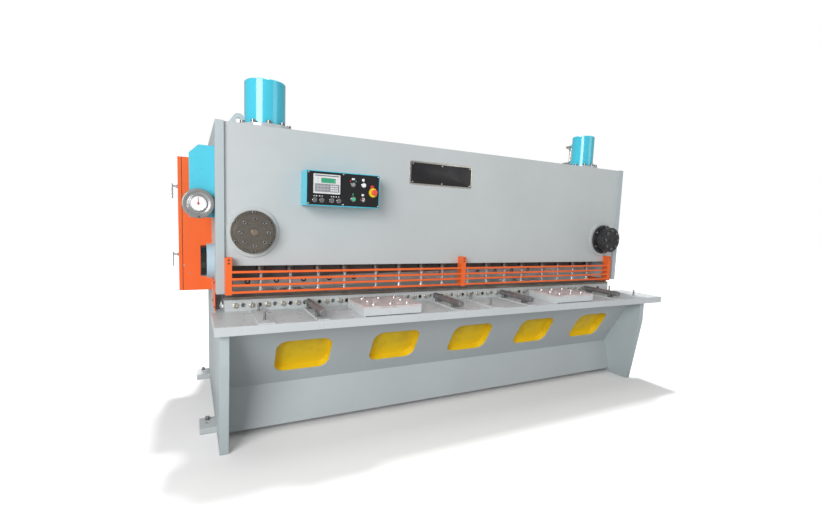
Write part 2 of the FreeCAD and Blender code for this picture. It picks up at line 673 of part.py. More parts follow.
# ---------------------------------------------------------------- blade gap adjuster, left side
case_w, case_h = 148.0, 463.0
case_x = -outer - case_w
case_y0, case_y1 = 100.0, 300.0
case_z0 = side_guide_z + 296
case_z1 = case_z0 + case_h
case_cut = 55.0             # bevelled upper corner
case_t = 5.0
wheel_x, wheel_z = -outer - 97, case_z0 + 87
wheel_r = 95.0
rim_bore = 74.0
rim_t = 30.0
web_t = 12.0                # disc behind the dial
front_wall = 8.0            # front of the housing, the shaft's bearing
hub_r, hub_len = 30.0, 24.0
dial_r = 48.0
dial_in = 4.0               # dial face behind the rim's front
spindle_r = 3.0
shaft_r = 12.0
outline = [(-outer, case_z0), (case_x, case_z0), (case_x, case_z1 - case_cut),
           (case_x + case_cut, case_z1), (-outer, case_z1)]
inner = [(-outer, case_z0 + case_t), (case_x + case_t, case_z0 + case_t),
         (case_x + case_t, case_z1 - case_cut - 2), (case_x + case_cut + 2, case_z1 - case_t),
         (-outer, case_z1 - case_t)]
case = plate_xz(outline, case_y0, case_y1)
case = case.cut(plate_xz(inner, case_y0 + front_wall, case_y1 - case_t))
case = case.cut(rod(wheel_x, case_y0, wheel_z, shaft_r + fit, front_wall, BACK))
save("gap_housing", case)

wheel_y = case_y0 - rim_t - hub_len - 8
shaft_len = hub_len + 68
wheel = joined(tube(wheel_x, wheel_y, wheel_z, wheel_r, rim_bore, rim_t, BACK),
               rod(wheel_x, wheel_y + rim_t - web_t, wheel_z, rim_bore, web_t, BACK),
               rod(wheel_x, wheel_y + rim_t, wheel_z, hub_r, hub_len, BACK),
               rod(wheel_x, wheel_y + rim_t, wheel_z, shaft_r, shaft_len, BACK))
edge = [e for e in wheel.Edges if e.Closed and abs(e.Curve.Radius - wheel_r) < 0.1]
save("gap_handwheel", wheel.makeFillet(8, edge))
dial = rod(wheel_x, wheel_y + dial_in, wheel_z, dial_r, rim_t - web_t - dial_in, BACK)
save("gap_dial", dial.cut(rod(wheel_x, wheel_y + dial_in, wheel_z, spindle_r + fit, 8, BACK)))
hand = plate_xz([(wheel_x - 2, wheel_z - 8), (wheel_x + 2, wheel_z - 8),
                 (wheel_x + 1, wheel_z + 38), (wheel_x - 1, wheel_z + 38)],
                wheel_y + 1.5, wheel_y + 3)
save("dial_pointer", joined(hand, rod(wheel_x, wheel_y + 1.5, wheel_z, spindle_r, 8, BACK),
                            rod(wheel_x, wheel_y + 1.5, wheel_z, 7, 1.5, BACK)))

# ---------------------------------------------------------------- electrical cabinet
cab_y0, cab_y1 = 560.0, 1160.0
cab_z0, cab_z1 = table_top + 69, top_z - 182
door_t = 25.0
cabinet_w = 197.0
door_in = -outer - cabinet_w
door_out = door_in - door_t
wall = 4.0
sheet_t = 3.0               # door sheet
hinge_x, hinge_y = door_out + 6, cab_y1 + 11
knuckle_r, knuckle_len, pin_r = 7.0, 34.0, 4.0
back_x = -outer - wall
walls = [box(back_x, -outer, cab_y0, cab_y1, cab_z0, cab_z1),
         box(door_in, back_x, cab_y0, cab_y1, cab_z0, cab_z0 + wall),
         box(door_in, back_x, cab_y0, cab_y1, cab_z1 - wall, cab_z1),
         box(door_in, back_x, cab_y0, cab_y0 + wall, cab_z0 + wall, cab_z1 - wall),
         box(door_in, back_x, cab_y1 - wall, cab_y1, cab_z0 + wall, cab_z1 - wall)]
panel_gap, panel_t = 27.0, 3.0                # mounting panel off the side plate
gear_d, gear_w, gear_h = 80.0, 65.0, 110.0
row_low = 180.0                               # lowest row above the cabinet's floor
row_pitch = (cab_z1 - cab_z0 - row_low - gear_h) / 3
panel_x1 = -outer - panel_gap
panel_x0 = panel_x1 - panel_t
mounting = box(panel_x0, panel_x1, cab_y0 + 60, cab_y1 - 60, cab_z0 + 70, cab_z1 - 70)
gear = [box(panel_x0 - gear_d, panel_x0, y, y + gear_w, z, z + gear_h)
        for y in (cab_y0 + 90 + i * (gear_w + 20) for i in range(5))
        for z in (cab_z0 + row_low + j * row_pitch for j in range(3))]
studs = [rod(panel_x1, y, z, 8, panel_gap - wall, RIGHT) for y in (cab_y0 + 80, cab_y1 - 80)
         for z in (cab_z0 + 90, cab_z1 - 90)]
hinge_zs = (cab_z0 + 130, cab_z1 - 130)
fixed_knuckles, door_knuckles = [], []
for z in hinge_zs:
    fixed_knuckles.append(joined(rod(hinge_x, hinge_y, z - knuckle_len, knuckle_r, knuckle_len),
                                 rod(hinge_x, hinge_y, z, pin_r, knuckle_len - 6),
                                 box(hinge_x, door_in + 40, cab_y1, hinge_y - 4,
                                     z - knuckle_len, z)))
    door_knuckles += [rod(hinge_x, hinge_y, z + 0.5, knuckle_r, knuckle_len),
                      box(door_out, hinge_x + 5, cab_y1 - 1, hinge_y, z + 0.5, z + knuckle_len)]
save("cabinet", mounting, *(walls + gear + studs + fixed_knuckles))
door = box(door_out, door_in, cab_y0, cab_y1 - 1, cab_z0, cab_z1)
door = door.cut(box(door_out + sheet_t, door_in, cab_y0 + sheet_t, cab_y1 - 1 - sheet_t,
                    cab_z0 + sheet_t, cab_z1 - sheet_t))
door = joined(door, *door_knuckles)
for z in hinge_zs:
    door = door.cut(rod(hinge_x, hinge_y, z, pin_r + fit, knuckle_len + 2))
latch_y = cab_y0 + 50
latch_r = 8.0
latch_zs = {"latch_upper": cab_z1 - 210, "latch_lower": cab_z0 + 270}
for z in latch_zs.values():
    door = door.cut(rod(door_out, latch_y, z, latch_r + fit, sheet_t, RIGHT))
save("cabinet_door", door)
for name, z in latch_zs.items():
    save(name, joined(rod(door_out - 32, latch_y, z, latch_r, 45, RIGHT),
                      rod(door_out - 12, latch_y, z, 15, 11.5, RIGHT),
                      rounded(latch_y, 0, z - 36, 18, 108, 8, 9).rotated(V(0, 0, 0), UP, 90)
                      .translated(V(door_out - 32, 0, 0)),
                      box(door_out + 13, door_out + 18, latch_y - 9, latch_y + 9, z - 30, z + 9)))

# ---------------------------------------------------------------- rear beams and back gauge
tie_y0, tie_y1 = 1150.0, 1350.0
tie_h, upper_h, tie_t = 160.0, 120.0, 10.0    # lower tie, upper tie and their walls
upper_y0, upper_y1 = 1080.0, 1280.0
upper_top = top_z - 507
arm_top = table_bottom + 46
arm_half = 45.0
rail_w, rail_h = 24.0, 20.0
screw_z = arm_top + 62
screw_dx = 78.0
screw_rod_r = 16.0
screw_y0, screw_y1 = 290.0, 1130.0
bearing_t, bearing_r = 24.0, 32.0


def square_tube(y0, y1, z0, z1, skin_t):
    """The four walls of a tube from side plate to side plate, as plates that touch."""
    return [box(-inside_half, inside_half, y0, y1, z0, z0 + skin_t),
            box(-inside_half, inside_half, y0, y1, z1 - skin_t, z1),
            box(-inside_half, inside_half, y0, y0 + skin_t, z0 + skin_t, z1 - skin_t),
            box(-inside_half, inside_half, y1 - skin_t, y1, z0 + skin_t, z1 - skin_t)]


arms = []
for side in (-1, 1):
    x = side * gauge_x
    arms.append(box(x - arm_half, x + arm_half, block_y, tie_y0, table_bottom - 10, arm_top))
    arms.append(box(x - rail_w / 2, x + rail_w / 2, screw_y0 - 30, tie_y0, arm_top, arm_top + rail_h))
    sx = x - side * screw_dx
    for y in (screw_y0 - bearing_t, screw_y1 - bearing_t):
        x0, x1 = sorted((x - side * rail_w / 2, sx - side * bearing_r))
        bearing = box(x0, x1, y, y + bearing_t, arm_top, screw_z + bearing_r)
        arms.append(bearing.cut(rod(sx, y, screw_z, screw_rod_r + fit, bearing_t, BACK)))
save("rear_beam", *(square_tube(tie_y0, tie_y1, arm_top - tie_h, arm_top, tie_t) + arms
                    + square_tube(upper_y0, upper_y1, upper_top - upper_h, upper_top, tie_t)))

collar_r, collar_t = 34.0, 16.0
for name, side in (("gauge_screw_left", -1), ("gauge_screw_right", 1)):
    sx = side * (gauge_x - screw_dx)
    save(name, joined(rod(sx, screw_y0 - 34, screw_z, screw_rod_r, screw_y1 - screw_y0 + 44, BACK),
                      rod(sx, screw_y1 + 1, screw_z, collar_r, collar_t, BACK)))

bar_t, bar_high, bar_over = 40.0, 90.0, 60.0  # gauge bar, and its ends beyond the arms
carriage_y = gauge_rest + bar_t + 5           # the carriages run behind the bar
carriage_len, saddle_t = 120.0, 20.0
gauge_low = cut_z + 2
gauge_parts = [box(-gauge_x - bar_over, gauge_x + bar_over, gauge_rest, gauge_rest + bar_t,
                   gauge_low, gauge_low + bar_high)]
for side in (-1, 1):
    x, sx = side * gauge_x, side * (gauge_x - screw_dx)
    x0, x1 = sorted((x + side * 40, sx - side * 28))
    block = box(x0, x1, carriage_y, carriage_y + carriage_len, arm_top + 1, gauge_low)
    block = block.cut(box(x - rail_w / 2 - clear, x + rail_w / 2 + clear, carriage_y,
                          carriage_y + carriage_len, arm_top, arm_top + rail_h + clear))
    gauge_parts.append(block.cut(rod(sx, carriage_y, screw_z, screw_rod_r + 0.3, carriage_len, BACK)))
    gauge_parts.append(box(x0, x1, gauge_rest, carriage_y + carriage_len, gauge_low,
                           gauge_low + saddle_t))
save("back_gauge", joined(*gauge_parts))

drive_y = tie_y0 + 60
gearbox_half, gearbox_d, gearbox_h = 130.0, 120.0, 130.0
drive_mid, drive_z = drive_y + gearbox_d / 2, arm_top + 75
motor_r, motor_len = 62.0, 260.0
box_half, box_d, box_h = 45.0, 100.0, 120.0   # bevel boxes behind the lead screws
drive_shaft_r = 20.0
nut_x = gauge_x - screw_dx
shaft_end = nut_x - box_half
end_boxes = [box(side * nut_x - box_half, side * nut_x + box_half, drive_y + 10,
                 drive_y + 10 + box_d, arm_top, arm_top + box_h) for side in (-1, 1)]
motor_end = gearbox_half + motor_len
save("gauge_drive",
     box(-gearbox_half, gearbox_half, drive_y, drive_y + gearbox_d, arm_top, arm_top + gearbox_h),
     rod(gearbox_half, drive_mid, drive_z, motor_r, motor_len, RIGHT),
     rod(-shaft_end, drive_mid, drive_z, drive_shaft_r, shaft_end - gearbox_half, RIGHT),
     rod(motor_end, drive_mid, drive_z, drive_shaft_r, shaft_end - motor_end, RIGHT),
     *end_boxes)

# ---------------------------------------------------------------- oil tank and pump
tank_half, tank_h, tank_t = 600.0, 380.0, 6.0
tank_y0, tank_y1 = 960.0, 1340.0
lid_over, lid_t = 12.0, 8.0
filler_r, filler_h = 45.0, 60.0
valve_x0, valve_w, valve_d, valve_h = 250.0, 200.0, 160.0, 120.0
tank_z = upper_top
rim_z = tank_z + tank_h
lid_z = rim_z + lid_t
tank_mid = (tank_y0 + tank_y1) / 2
tank = box(-tank_half, tank_half, tank_y0, tank_y1, tank_z, rim_z)
tank = tank.cut(box(tank_t - tank_half, tank_half - tank_t, tank_y0 + tank_t, tank_y1 - tank_t,
                    tank_z + tank_t, rim_z))
lid = box(-tank_half - lid_over, tank_half + lid_over, tank_y0 - lid_over, tank_y1 + lid_over,
          rim_z, lid_z)
filler = rod(120 - tank_half, tank_mid, lid_z, filler_r, filler_h)
valves = box(valve_x0, valve_x0 + valve_w, tank_mid - 90, tank_mid - 90 + valve_d,
             lid_z, lid_z + valve_h)
save("oil_tank", joined(tank, lid, filler, valves))

pump_axis_h = 120.0         # motor axis above the lid
motor_r, motor_len, motor_x = 108.0, 330.0, -330.0
coupling_r, pump_r, pump_len = 60.0, 80.0, 90.0
base_d, base_h = 160.0, 60.0
terminal_w, terminal_d, terminal_h = 120.0, 100.0, 62.0
shaft_z = lid_z + pump_axis_h
motor_end = motor_x + motor_len
motor = joined(rod(motor_x, tank_mid, shaft_z, motor_r, motor_len, RIGHT),
               rod(motor_end, tank_mid, shaft_z, coupling_r, pump_len, RIGHT),
               rod(motor_end + pump_len, tank_mid, shaft_z, pump_r, pump_len, RIGHT),
               box(motor_x + 30, motor_end - 60, tank_mid - base_d / 2, tank_mid + base_d / 2,
                   lid_z, lid_z + base_h),
               box(motor_x + 100, motor_x + 100 + terminal_w, tank_mid - terminal_d / 2,
                   tank_mid + terminal_d / 2, shaft_z + 80, shaft_z + 80 + terminal_h))
save("pump_motor", motor)
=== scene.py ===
import math
import bmesh
import bpy
from mathutils import Matrix, Vector


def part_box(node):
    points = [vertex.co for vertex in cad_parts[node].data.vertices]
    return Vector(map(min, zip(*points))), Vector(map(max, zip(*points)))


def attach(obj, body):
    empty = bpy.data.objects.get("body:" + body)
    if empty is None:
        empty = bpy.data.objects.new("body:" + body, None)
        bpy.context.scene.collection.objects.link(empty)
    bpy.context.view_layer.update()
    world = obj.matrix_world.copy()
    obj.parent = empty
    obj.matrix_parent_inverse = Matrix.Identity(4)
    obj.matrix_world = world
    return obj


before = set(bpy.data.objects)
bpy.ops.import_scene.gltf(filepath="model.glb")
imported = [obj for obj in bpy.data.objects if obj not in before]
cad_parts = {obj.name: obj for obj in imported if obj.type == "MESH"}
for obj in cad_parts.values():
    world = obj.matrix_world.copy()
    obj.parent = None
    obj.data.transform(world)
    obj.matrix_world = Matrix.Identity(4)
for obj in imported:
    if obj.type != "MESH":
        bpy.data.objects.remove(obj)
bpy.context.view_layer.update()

# ------------------------------------------------------------------ studio
# A pale seamless floor in a white room, with one large soft box to the left of the operator, a
# smaller one to the right, one overhead and a sun behind. The camera stands at the left front
# corner at head height.
scene = bpy.context.scene
scene.view_settings.view_transform = "Standard"


def aimed(yaw, pitch, roll):
    """Turn from looking down to looking along +Y, then by yaw to the right and pitch down."""
    return (Matrix.Rotation(-yaw, 3, "Z") @ Matrix.Rotation(math.pi / 2 - pitch, 3, "X")
            @ Matrix.Rotation(roll, 3, "Z")).to_euler()


lens = bpy.data.cameras.new("camera")
lens.lens = 19.08
lens.clip_end = 200.0
camera = bpy.data.objects.new("camera", lens)
camera.location = (-2.0402, -3.7395, 1.4764)
camera.rotation_euler = aimed(math.radians(26.928), math.radians(5.746), math.radians(2.122))
scene.collection.objects.link(camera)
scene.camera = camera


def soft_box(name, place, target, width, height, power):
    lamp = bpy.data.lights.new(name, "AREA")
    lamp.shape, lamp.size, lamp.size_y, lamp.energy = "RECTANGLE", width, height, power
    holder = bpy.data.objects.new(name, lamp)
    holder.location = place
    holder.rotation_euler = (Vector(target) - Vector(place)).to_track_quat("-Z", "Y").to_euler()
    scene.collection.objects.link(holder)


soft_box("key_light", (-6.2, -6.0, 3.4), (0, 0, 1.2), 4.2, 4.2, 500)
soft_box("fill_light", (5.5, -6.5, 3.6), (0.5, 0, 1.0), 4.0, 3.0, 60)
soft_box("top_light", (0, 0.5, 6.5), (0, 0, 0), 6.0, 4.0, 110)
# high and from behind, so that the machine shades the ground in front of it
daylight = bpy.data.lights.new("roof_light", "SUN")
daylight.energy, daylight.angle = 3.2, math.radians(7)
roof = bpy.data.objects.new("roof_light", daylight)
roof.location = (1.2, 4.0, 10.0)
roof.rotation_euler = (-roof.location).to_track_quat("-Z", "Y").to_euler()
scene.collection.objects.link(roof)

room = bpy.data.worlds.new("room")
room.use_nodes = True
room.node_tree.nodes["Background"].inputs["Color"].default_value = (1.0, 1.0, 1.0, 1.0)
walls = room.node_tree.nodes["Background"]
seen = room.node_tree.nodes.new("ShaderNodeLightPath")
# bright to the eye, dimmer as a light
wall_glow = room.node_tree.nodes.new("ShaderNodeMapRange")
wall_glow.inputs["To Min"].default_value, wall_glow.inputs["To Max"].default_value = 0.36, 1.0
room.node_tree.links.new(seen.outputs["Is Camera Ray"], wall_glow.inputs["Value"])
room.node_tree.links.new(wall_glow.outputs["Result"], walls.inputs["Strength"])
scene.world = room

floor_mesh = bpy.data.meshes.new("floor")
floor_mesh.from_pydata([(-60, -60, -0.002), (60, -60, -0.002), (60, 60, -0.002), (-60, 60, -0.002)],
                       [], [(0, 1, 2, 3)])
floor_paint = bpy.data.materials.new("floor_paint")
floor_paint.use_nodes = True
floor_shader = floor_paint.node_tree.nodes["Principled BSDF"]
floor_links = floor_paint.node_tree.links
seen = floor_paint.node_tree.nodes.new("ShaderNodeLightPath")
for socket, unseen, looked_at in (("Base Color", 0.35, 0.95), ("Emission Strength", 0.0, 0.02)):
    shade = floor_paint.node_tree.nodes.new("ShaderNodeMapRange")
    shade.inputs["To Min"].default_value, shade.inputs["To Max"].default_value = unseen, looked_at
    floor_links.new(seen.outputs["Is Camera Ray"], shade.inputs["Value"])
    floor_links.new(shade.outputs["Result"], floor_shader.inputs[socket])
floor_shader.inputs["Emission Color"].default_value = (1.0, 1.0, 1.0, 1.0)
floor_shader.inputs["Roughness"].default_value = 0.9
floor_shader.inputs["Specular IOR Level"].default_value = 0.1
floor_mesh.materials.append(floor_paint)
floor = bpy.data.objects.new("floor", floor_mesh)
scene.collection.objects.link(floor)


# ------------------------------------------------------------------ side plates
# Two profile-cut plates, 52 mm thick, that carry everything else. They are shot-blasted, filled
# and sprayed with a light grey satin enamel that drifts a little in tone; the edges get a painted
# highlight.
def add(tree, kind, plugs=(), **settings):
    """One node with its settings, and values or other nodes' sockets plugged into its inputs."""
    made = tree.nodes.new(kind)
    for key, value in settings.items():
        setattr(made, key, value)
    for key, value in dict(plugs).items():
        if isinstance(value, bpy.types.NodeSocket):
            tree.links.new(value, made.inputs[key])
        else:
            made.inputs[key].default_value = value
    return made


def effect(name, takes, gives):
    """An empty shader effect with named sockets."""
    tree = bpy.data.node_groups.new(name, "ShaderNodeTree")
    for direction, sockets in (("INPUT", takes), ("OUTPUT", gives)):
        for label, kind in sockets.items():
            tree.interface.new_socket(label, in_out=direction, socket_type="NodeSocket" + kind)
    return tree, add(tree, "NodeGroupInput"), add(tree, "NodeGroupOutput")


# sprayed enamel: tone drift over the panel, fine orange peel, and a painted highlight on the edges
sprayed, given, result = effect(
    "sprayed_coat",
    {"Place": "Vector", "Colour": "Color", "Shade": "Color", "Edge highlight": "Color",
     "Drift scale": "Float", "Highlight amount": "Float", "Peel depth": "Float"},
    {"Colour": "Color", "Roughness": "Float", "Normal": "Vector"})
cloud = add(sprayed, "ShaderNodeTexNoise", {"Vector": given.outputs["Place"],
            "Scale": given.outputs["Drift scale"], "Detail": 5.0, "Roughness": 0.55})
drift = add(sprayed, "ShaderNodeMapRange", {"Value": cloud.outputs["Fac"], "From Min": 0.3,
            "From Max": 0.72})
tint = add(sprayed, "ShaderNodeMix", {0: drift.outputs["Result"], 6: given.outputs["Colour"],
           7: given.outputs["Shade"]}, data_type="RGBA")
round_edge = add(sprayed, "ShaderNodeBevel", {"Radius": 0.004}, samples=4)
flat_face = add(sprayed, "ShaderNodeNewGeometry")
turn = add(sprayed, "ShaderNodeVectorMath", {0: round_edge.outputs["Normal"],
           1: flat_face.outputs["Normal"]}, operation="DOT_PRODUCT")
# painted highlight: along the edges the colour turns lighter
edge_highlight_mask = add(sprayed, "ShaderNodeMapRange", {"Value": turn.outputs["Value"], "From Min": 0.995,
           "From Max": 0.9})
edge_highlight_amount = add(sprayed, "ShaderNodeMath", {0: edge_highlight_mask.outputs["Result"],
                  1: given.outputs["Highlight amount"]}, operation="MULTIPLY")
coloured = add(sprayed, "ShaderNodeMix", {0: edge_highlight_amount.outputs["Value"],
               6: tint.outputs[2], 7: given.outputs["Edge highlight"]}, data_type="RGBA")
peel = add(sprayed, "ShaderNodeTexNoise", {"Vector": given.outputs["Place"], "Scale": 340.0,
           "Detail": 2.0})
peel_bump = add(sprayed, "ShaderNodeBump", {"Height": peel.outputs["Fac"],
                "Strength": given.outputs["Peel depth"], "Distance": 0.0006,
                "Normal": round_edge.outputs["Normal"]})
mottle = add(sprayed, "ShaderNodeTexNoise", {"Vector": given.outputs["Place"], "Scale": 14.0,
             "Detail": 6.0})
sheen = add(sprayed, "ShaderNodeMapRange", {"Value": mottle.outputs["Fac"], "From Min": 0.25,
            "From Max": 0.75, "To Min": -0.06, "To Max": 0.07})
sprayed.links.new(coloured.outputs[2], result.inputs["Colour"])
sprayed.links.new(sheen.outputs["Result"], result.inputs["Roughness"])
sprayed.links.new(peel_bump.outputs["Normal"], result.inputs["Normal"])


def shade_of(colour, amount):
    return tuple(min(1.0, c * amount) for c in colour[:3]) + (1.0,)


def enamel(name, colour, roughness=0.4, drift=1.3, edge=0.5, peel=0.12, coat=0.0):
    """Sprayed two-pack enamel of one colour."""
    paint = bpy.data.materials.new(name)
    paint.use_nodes = True
    tree = paint.node_tree
    shader = tree.nodes["Principled BSDF"]
    place = add(tree, "ShaderNodeTexCoord")
    skin = add(tree, "ShaderNodeGroup", node_tree=sprayed)
    # painted highlight: the edges are coloured 22% lighter than the paint, by the edge amount
    values = {"Colour": shade_of(colour, 1.03), "Shade": shade_of(colour, 0.93),
              "Edge highlight": shade_of(colour, 1.22), "Drift scale": drift, "Highlight amount": edge,
              "Peel depth": peel}
    for key, value in values.items():
        skin.inputs[key].default_value = value
    tree.links.new(place.outputs["Object"], skin.inputs["Place"])
    rough = add(tree, "ShaderNodeMath", {0: skin.outputs["Roughness"], 1: roughness},
                operation="ADD")
    tree.links.new(skin.outputs["Colour"], shader.inputs["Base Color"])
    tree.links.new(rough.outputs["Value"], shader.inputs["Roughness"])
    tree.links.new(skin.outputs["Normal"], shader.inputs["Normal"])
    shader.inputs["Coat Weight"].default_value = coat
    shader.inputs["Coat Roughness"].default_value = 0.08
    return paint


def spot(finish):
    """A finish's node tree, and the place on the object that is being shaded."""
    return finish.node_tree, add(finish.node_tree, "ShaderNodeTexCoord").outputs["Object"]


def overpaint(finish, mask, colour):
    """Lay a second colour over a finish where mask is 1."""
    tree = finish.node_tree
    base = tree.nodes["Principled BSDF"].inputs["Base Color"]
    both = add(tree, "ShaderNodeMix", {0: mask, 6: base.links[0].from_socket, 7: colour},
               data_type="RGBA")
    tree.links.new(both.outputs[2], base)


def dress(finish, *names):
    """Give CAD nodes their finish."""
    for name in names:
        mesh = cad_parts[name].data
        mesh.materials.clear()
        mesh.materials.append(finish)


body_grey = enamel("body_grey", (0.53, 0.565, 0.57), roughness=0.42)
side_grey = enamel("side_grey", (0.45, 0.515, 0.535), roughness=0.42)
dress(side_grey, "left_housing", "right_housing")

# ------------------------------------------------------------------ weld seams
# Fillet welds laid by hand in short ripples where the front beam meets the side plates and where
# the apron meets the legs. They are sprayed over with the same enamel.
def join(tree, kind, plugs=(), **settings):
    """A geometry node; returns its first output."""
    return add(tree, kind, plugs, **settings).outputs[0]


def recipe(name, takes):
    """A geometry tree with named inputs, its last steps still to be joined on."""
    tree = bpy.data.node_groups.new(name, "GeometryNodeTree")
    tree.is_modifier = True
    for label, kind in {"Path": "Geometry", **takes, "Finish": "Material"}.items():
        tree.interface.new_socket(label, in_out="INPUT", socket_type="NodeSocket" + kind)
    tree.interface.new_socket("Made", in_out="OUTPUT", socket_type="NodeSocketGeometry")
    return tree, add(tree, "NodeGroupInput").outputs


def sealed(tree, shape, finish, smooth=False):
    """Realise, shade and give out what a tree has made."""
    real = join(tree, "GeometryNodeRealizeInstances", {0: shape})
    if smooth:
        real = join(tree, "GeometryNodeSetShadeSmooth", {0: real})
    done = join(tree, "GeometryNodeSetMaterial", {"Geometry": real, "Material": finish})
    tree.links.new(done, add(tree, "NodeGroupOutput").inputs[0])


def hung(name, mesh, finish, body="frame", slot=None):
    """A finished mesh as a piece that rides on a body."""
    piece = bpy.data.objects.new(name, mesh)
    scene.collection.objects.link(piece)
    mesh.materials.clear()
    mesh.materials.append(finish)
    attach(piece, body)
    return piece


def made_by(tree, name, points, edges, finish, body="frame", slot=None, **sizes):
    """Run a geometry tree on points and edges and keep its result as a plain mesh."""
    seed = bpy.data.meshes.new(name + "_seed")
    seed.from_pydata([tuple(p) for p in points], edges, [])
    holder = bpy.data.objects.new(name + "_seed", seed)
    scene.collection.objects.link(holder)
    step = holder.modifiers.new("made", "NODES")
    step.node_group = tree
    inputs = {item.name: item.identifier for item in tree.interface.items_tree
              if item.in_out == "INPUT"}
    for label, value in sizes.items():
        step[inputs[label.replace("_", " ")]] = value
    step[inputs["Finish"]] = finish
    holder.update_tag()
    bpy.context.view_layer.update()
    solid = bpy.data.meshes.new_from_object(holder.evaluated_get(
        bpy.context.evaluated_depsgraph_get()))
    bpy.data.objects.remove(holder)
    return hung(name, solid, finish, body, slot)


# ripples of a weld: flattened beads, one over the next, along a path
weld_tree, taken = recipe("weld_ripples", {"Pitch": "Float", "Bead": "Float", "Seed": "Int"})
seam = join(weld_tree, "GeometryNodeMeshToCurve", {0: taken["Path"]})
stops = join(weld_tree, "GeometryNodeResampleCurve", {"Curve": seam, "Length": taken["Pitch"]},
             mode="LENGTH")
bead = join(weld_tree, "GeometryNodeMeshUVSphere", {"Segments": 7, "Rings": 4,
            "Radius": taken["Bead"]})
uneven = join(weld_tree, "FunctionNodeRandomValue", {0: (0.8, 0.8, 0.8), 1: (1.15, 1.15, 1.15),
              "Seed": taken["Seed"]}, data_type="FLOAT_VECTOR")
beads = join(weld_tree, "GeometryNodeInstanceOnPoints", {"Points": stops, "Instance": bead,
             "Scale": uneven})
sealed(weld_tree, beads, taken["Finish"], smooth=True)

plate_lo, plate_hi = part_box("front_plate")
face = plate_lo.y + 0.014                     # the front plate's face, behind its two rings
apron_lo, apron_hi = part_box("apron")
crease_z = 0.314
weld_lines = [((x, face, plate_lo.z + 0.01), (x, face, 2.064)) for x in (plate_lo.x, plate_hi.x)]
weld_lines += [((x, -0.680, crease_z), (x, apron_lo.y, apron_hi.z - 0.004))
               for x in (apron_lo.x, apron_hi.x)]
corners = [p for line in weld_lines for p in line]
made_by(weld_tree, "weld_seams", corners, [(i, i + 1) for i in range(0, len(corners), 2)],
        body_grey, slot="grey_paint", Pitch=0.0055, Bead=0.0042, Seed=3)


# ------------------------------------------------------------------ front beam and nameplate
# A welded box of a 40 mm front plate, a top plate and a shelf for the hold-downs, in the same
# enamel. A blank plate of black anodised aluminium with a bare rim is riveted to its middle.
dress(body_grey, "front_plate")


def round_corners(x0, x1, z0, z1, radius, steps=6):
    """Outline of a rectangle with round corners, counter-clockwise seen from the front."""
    out = []
    for cx, cz, start in ((x1 - radius, z1 - radius, 0), (x0 + radius, z1 - radius, 90),
                          (x0 + radius, z0 + radius, 180), (x1 - radius, z0 + radius, 270)):
        for i in range(steps + 1):
            a = math.radians(start + 90 * i / steps)
            out.append((cx + radius * math.cos(a), cz + radius * math.sin(a)))
    return out


def ringed(name, rings, finish, body="frame", slot=None, ends=True, close=False):
    """A closed shape skinned over rings of points, each ring with the same number of points."""
    bm = bmesh.new()
    loops = [[bm.verts.new(p) for p in ring] for ring in rings]
    pairs = list(zip(loops, loops[1:])) + ([(loops[-1], loops[0])] if close else [])
    for low, high in pairs:
        for i in range(len(low)):
            j = (i + 1) % len(low)
            bm.faces.new((low[i], low[j], high[j], high[i]))
    if ends:
        bm.faces.new(loops[0])
        bm.faces.new(loops[-1])
    bmesh.ops.recalc_face_normals(bm, faces=bm.faces)
    mesh = bpy.data.meshes.new(name)
    bm.to_mesh(mesh)
    bm.free()
    mesh.shade_smooth()
    mesh.set_sharp_from_angle(angle=math.radians(32))
    return hung(name, mesh, finish, body, slot)


def slab(name, x0, x1, z0, z1, back, front, radius, finish, bevel=0.001, **more):
    """A flat plate standing on the XZ plane, with round corners and its front edge eased."""
    rings = []
    for y, inset in ((back, 0.0), (front + bevel, 0.0), (front + bevel * 0.3, bevel * 0.3),
                     (front, bevel)):
        outline = round_corners(x0 + inset, x1 - inset, z0 + inset, z1 - inset,
                                max(radius - inset, 0.0002))
        rings.append([(x, y, z) for x, z in outline])
    return ringed(name, rings, finish, **more)


# bare metal: grain stretched along one direction, with lighter edges that are partly wear and
# partly a painted highlight
metal_skin, given, result = effect(
    "worked_metal",
    {"Place": "Vector", "Light": "Color", "Dark": "Color", "Grain": "Vector",
     "Blotch scale": "Float",
     "Rough low": "Float", "Rough high": "Float", "Depth": "Float", "Rub and highlight": "Float"},
    {"Colour": "Color", "Roughness": "Float", "Normal": "Vector"})
along = add(metal_skin, "ShaderNodeVectorMath", {0: given.outputs["Place"],
            1: given.outputs["Grain"]}, operation="MULTIPLY")
grain = add(metal_skin, "ShaderNodeTexNoise", {"Vector": along.outputs["Vector"], "Scale": 1.0,
            "Detail": 4.0, "Roughness": 0.6})
blotch = add(metal_skin, "ShaderNodeTexNoise", {"Vector": given.outputs["Place"],
             "Scale": given.outputs["Blotch scale"], "Detail": 5.0, "Roughness": 0.62})
blend = add(metal_skin, "ShaderNodeMath", {0: grain.outputs["Fac"], 1: blotch.outputs["Fac"]},
            operation="ADD")
spread = add(metal_skin, "ShaderNodeMapRange", {"Value": blend.outputs["Value"], "From Min": 0.72,
             "From Max": 1.28})
metal_tone = add(metal_skin, "ShaderNodeMix", {0: spread.outputs["Result"],
                 6: given.outputs["Light"], 7: given.outputs["Dark"]}, data_type="RGBA")
edge_bevel = add(metal_skin, "ShaderNodeBevel", {"Radius": 0.0018}, samples=4)
flat_face = add(metal_skin, "ShaderNodeNewGeometry")
turn = add(metal_skin, "ShaderNodeVectorMath", {0: edge_bevel.outputs["Normal"],
           1: flat_face.outputs["Normal"]}, operation="DOT_PRODUCT")
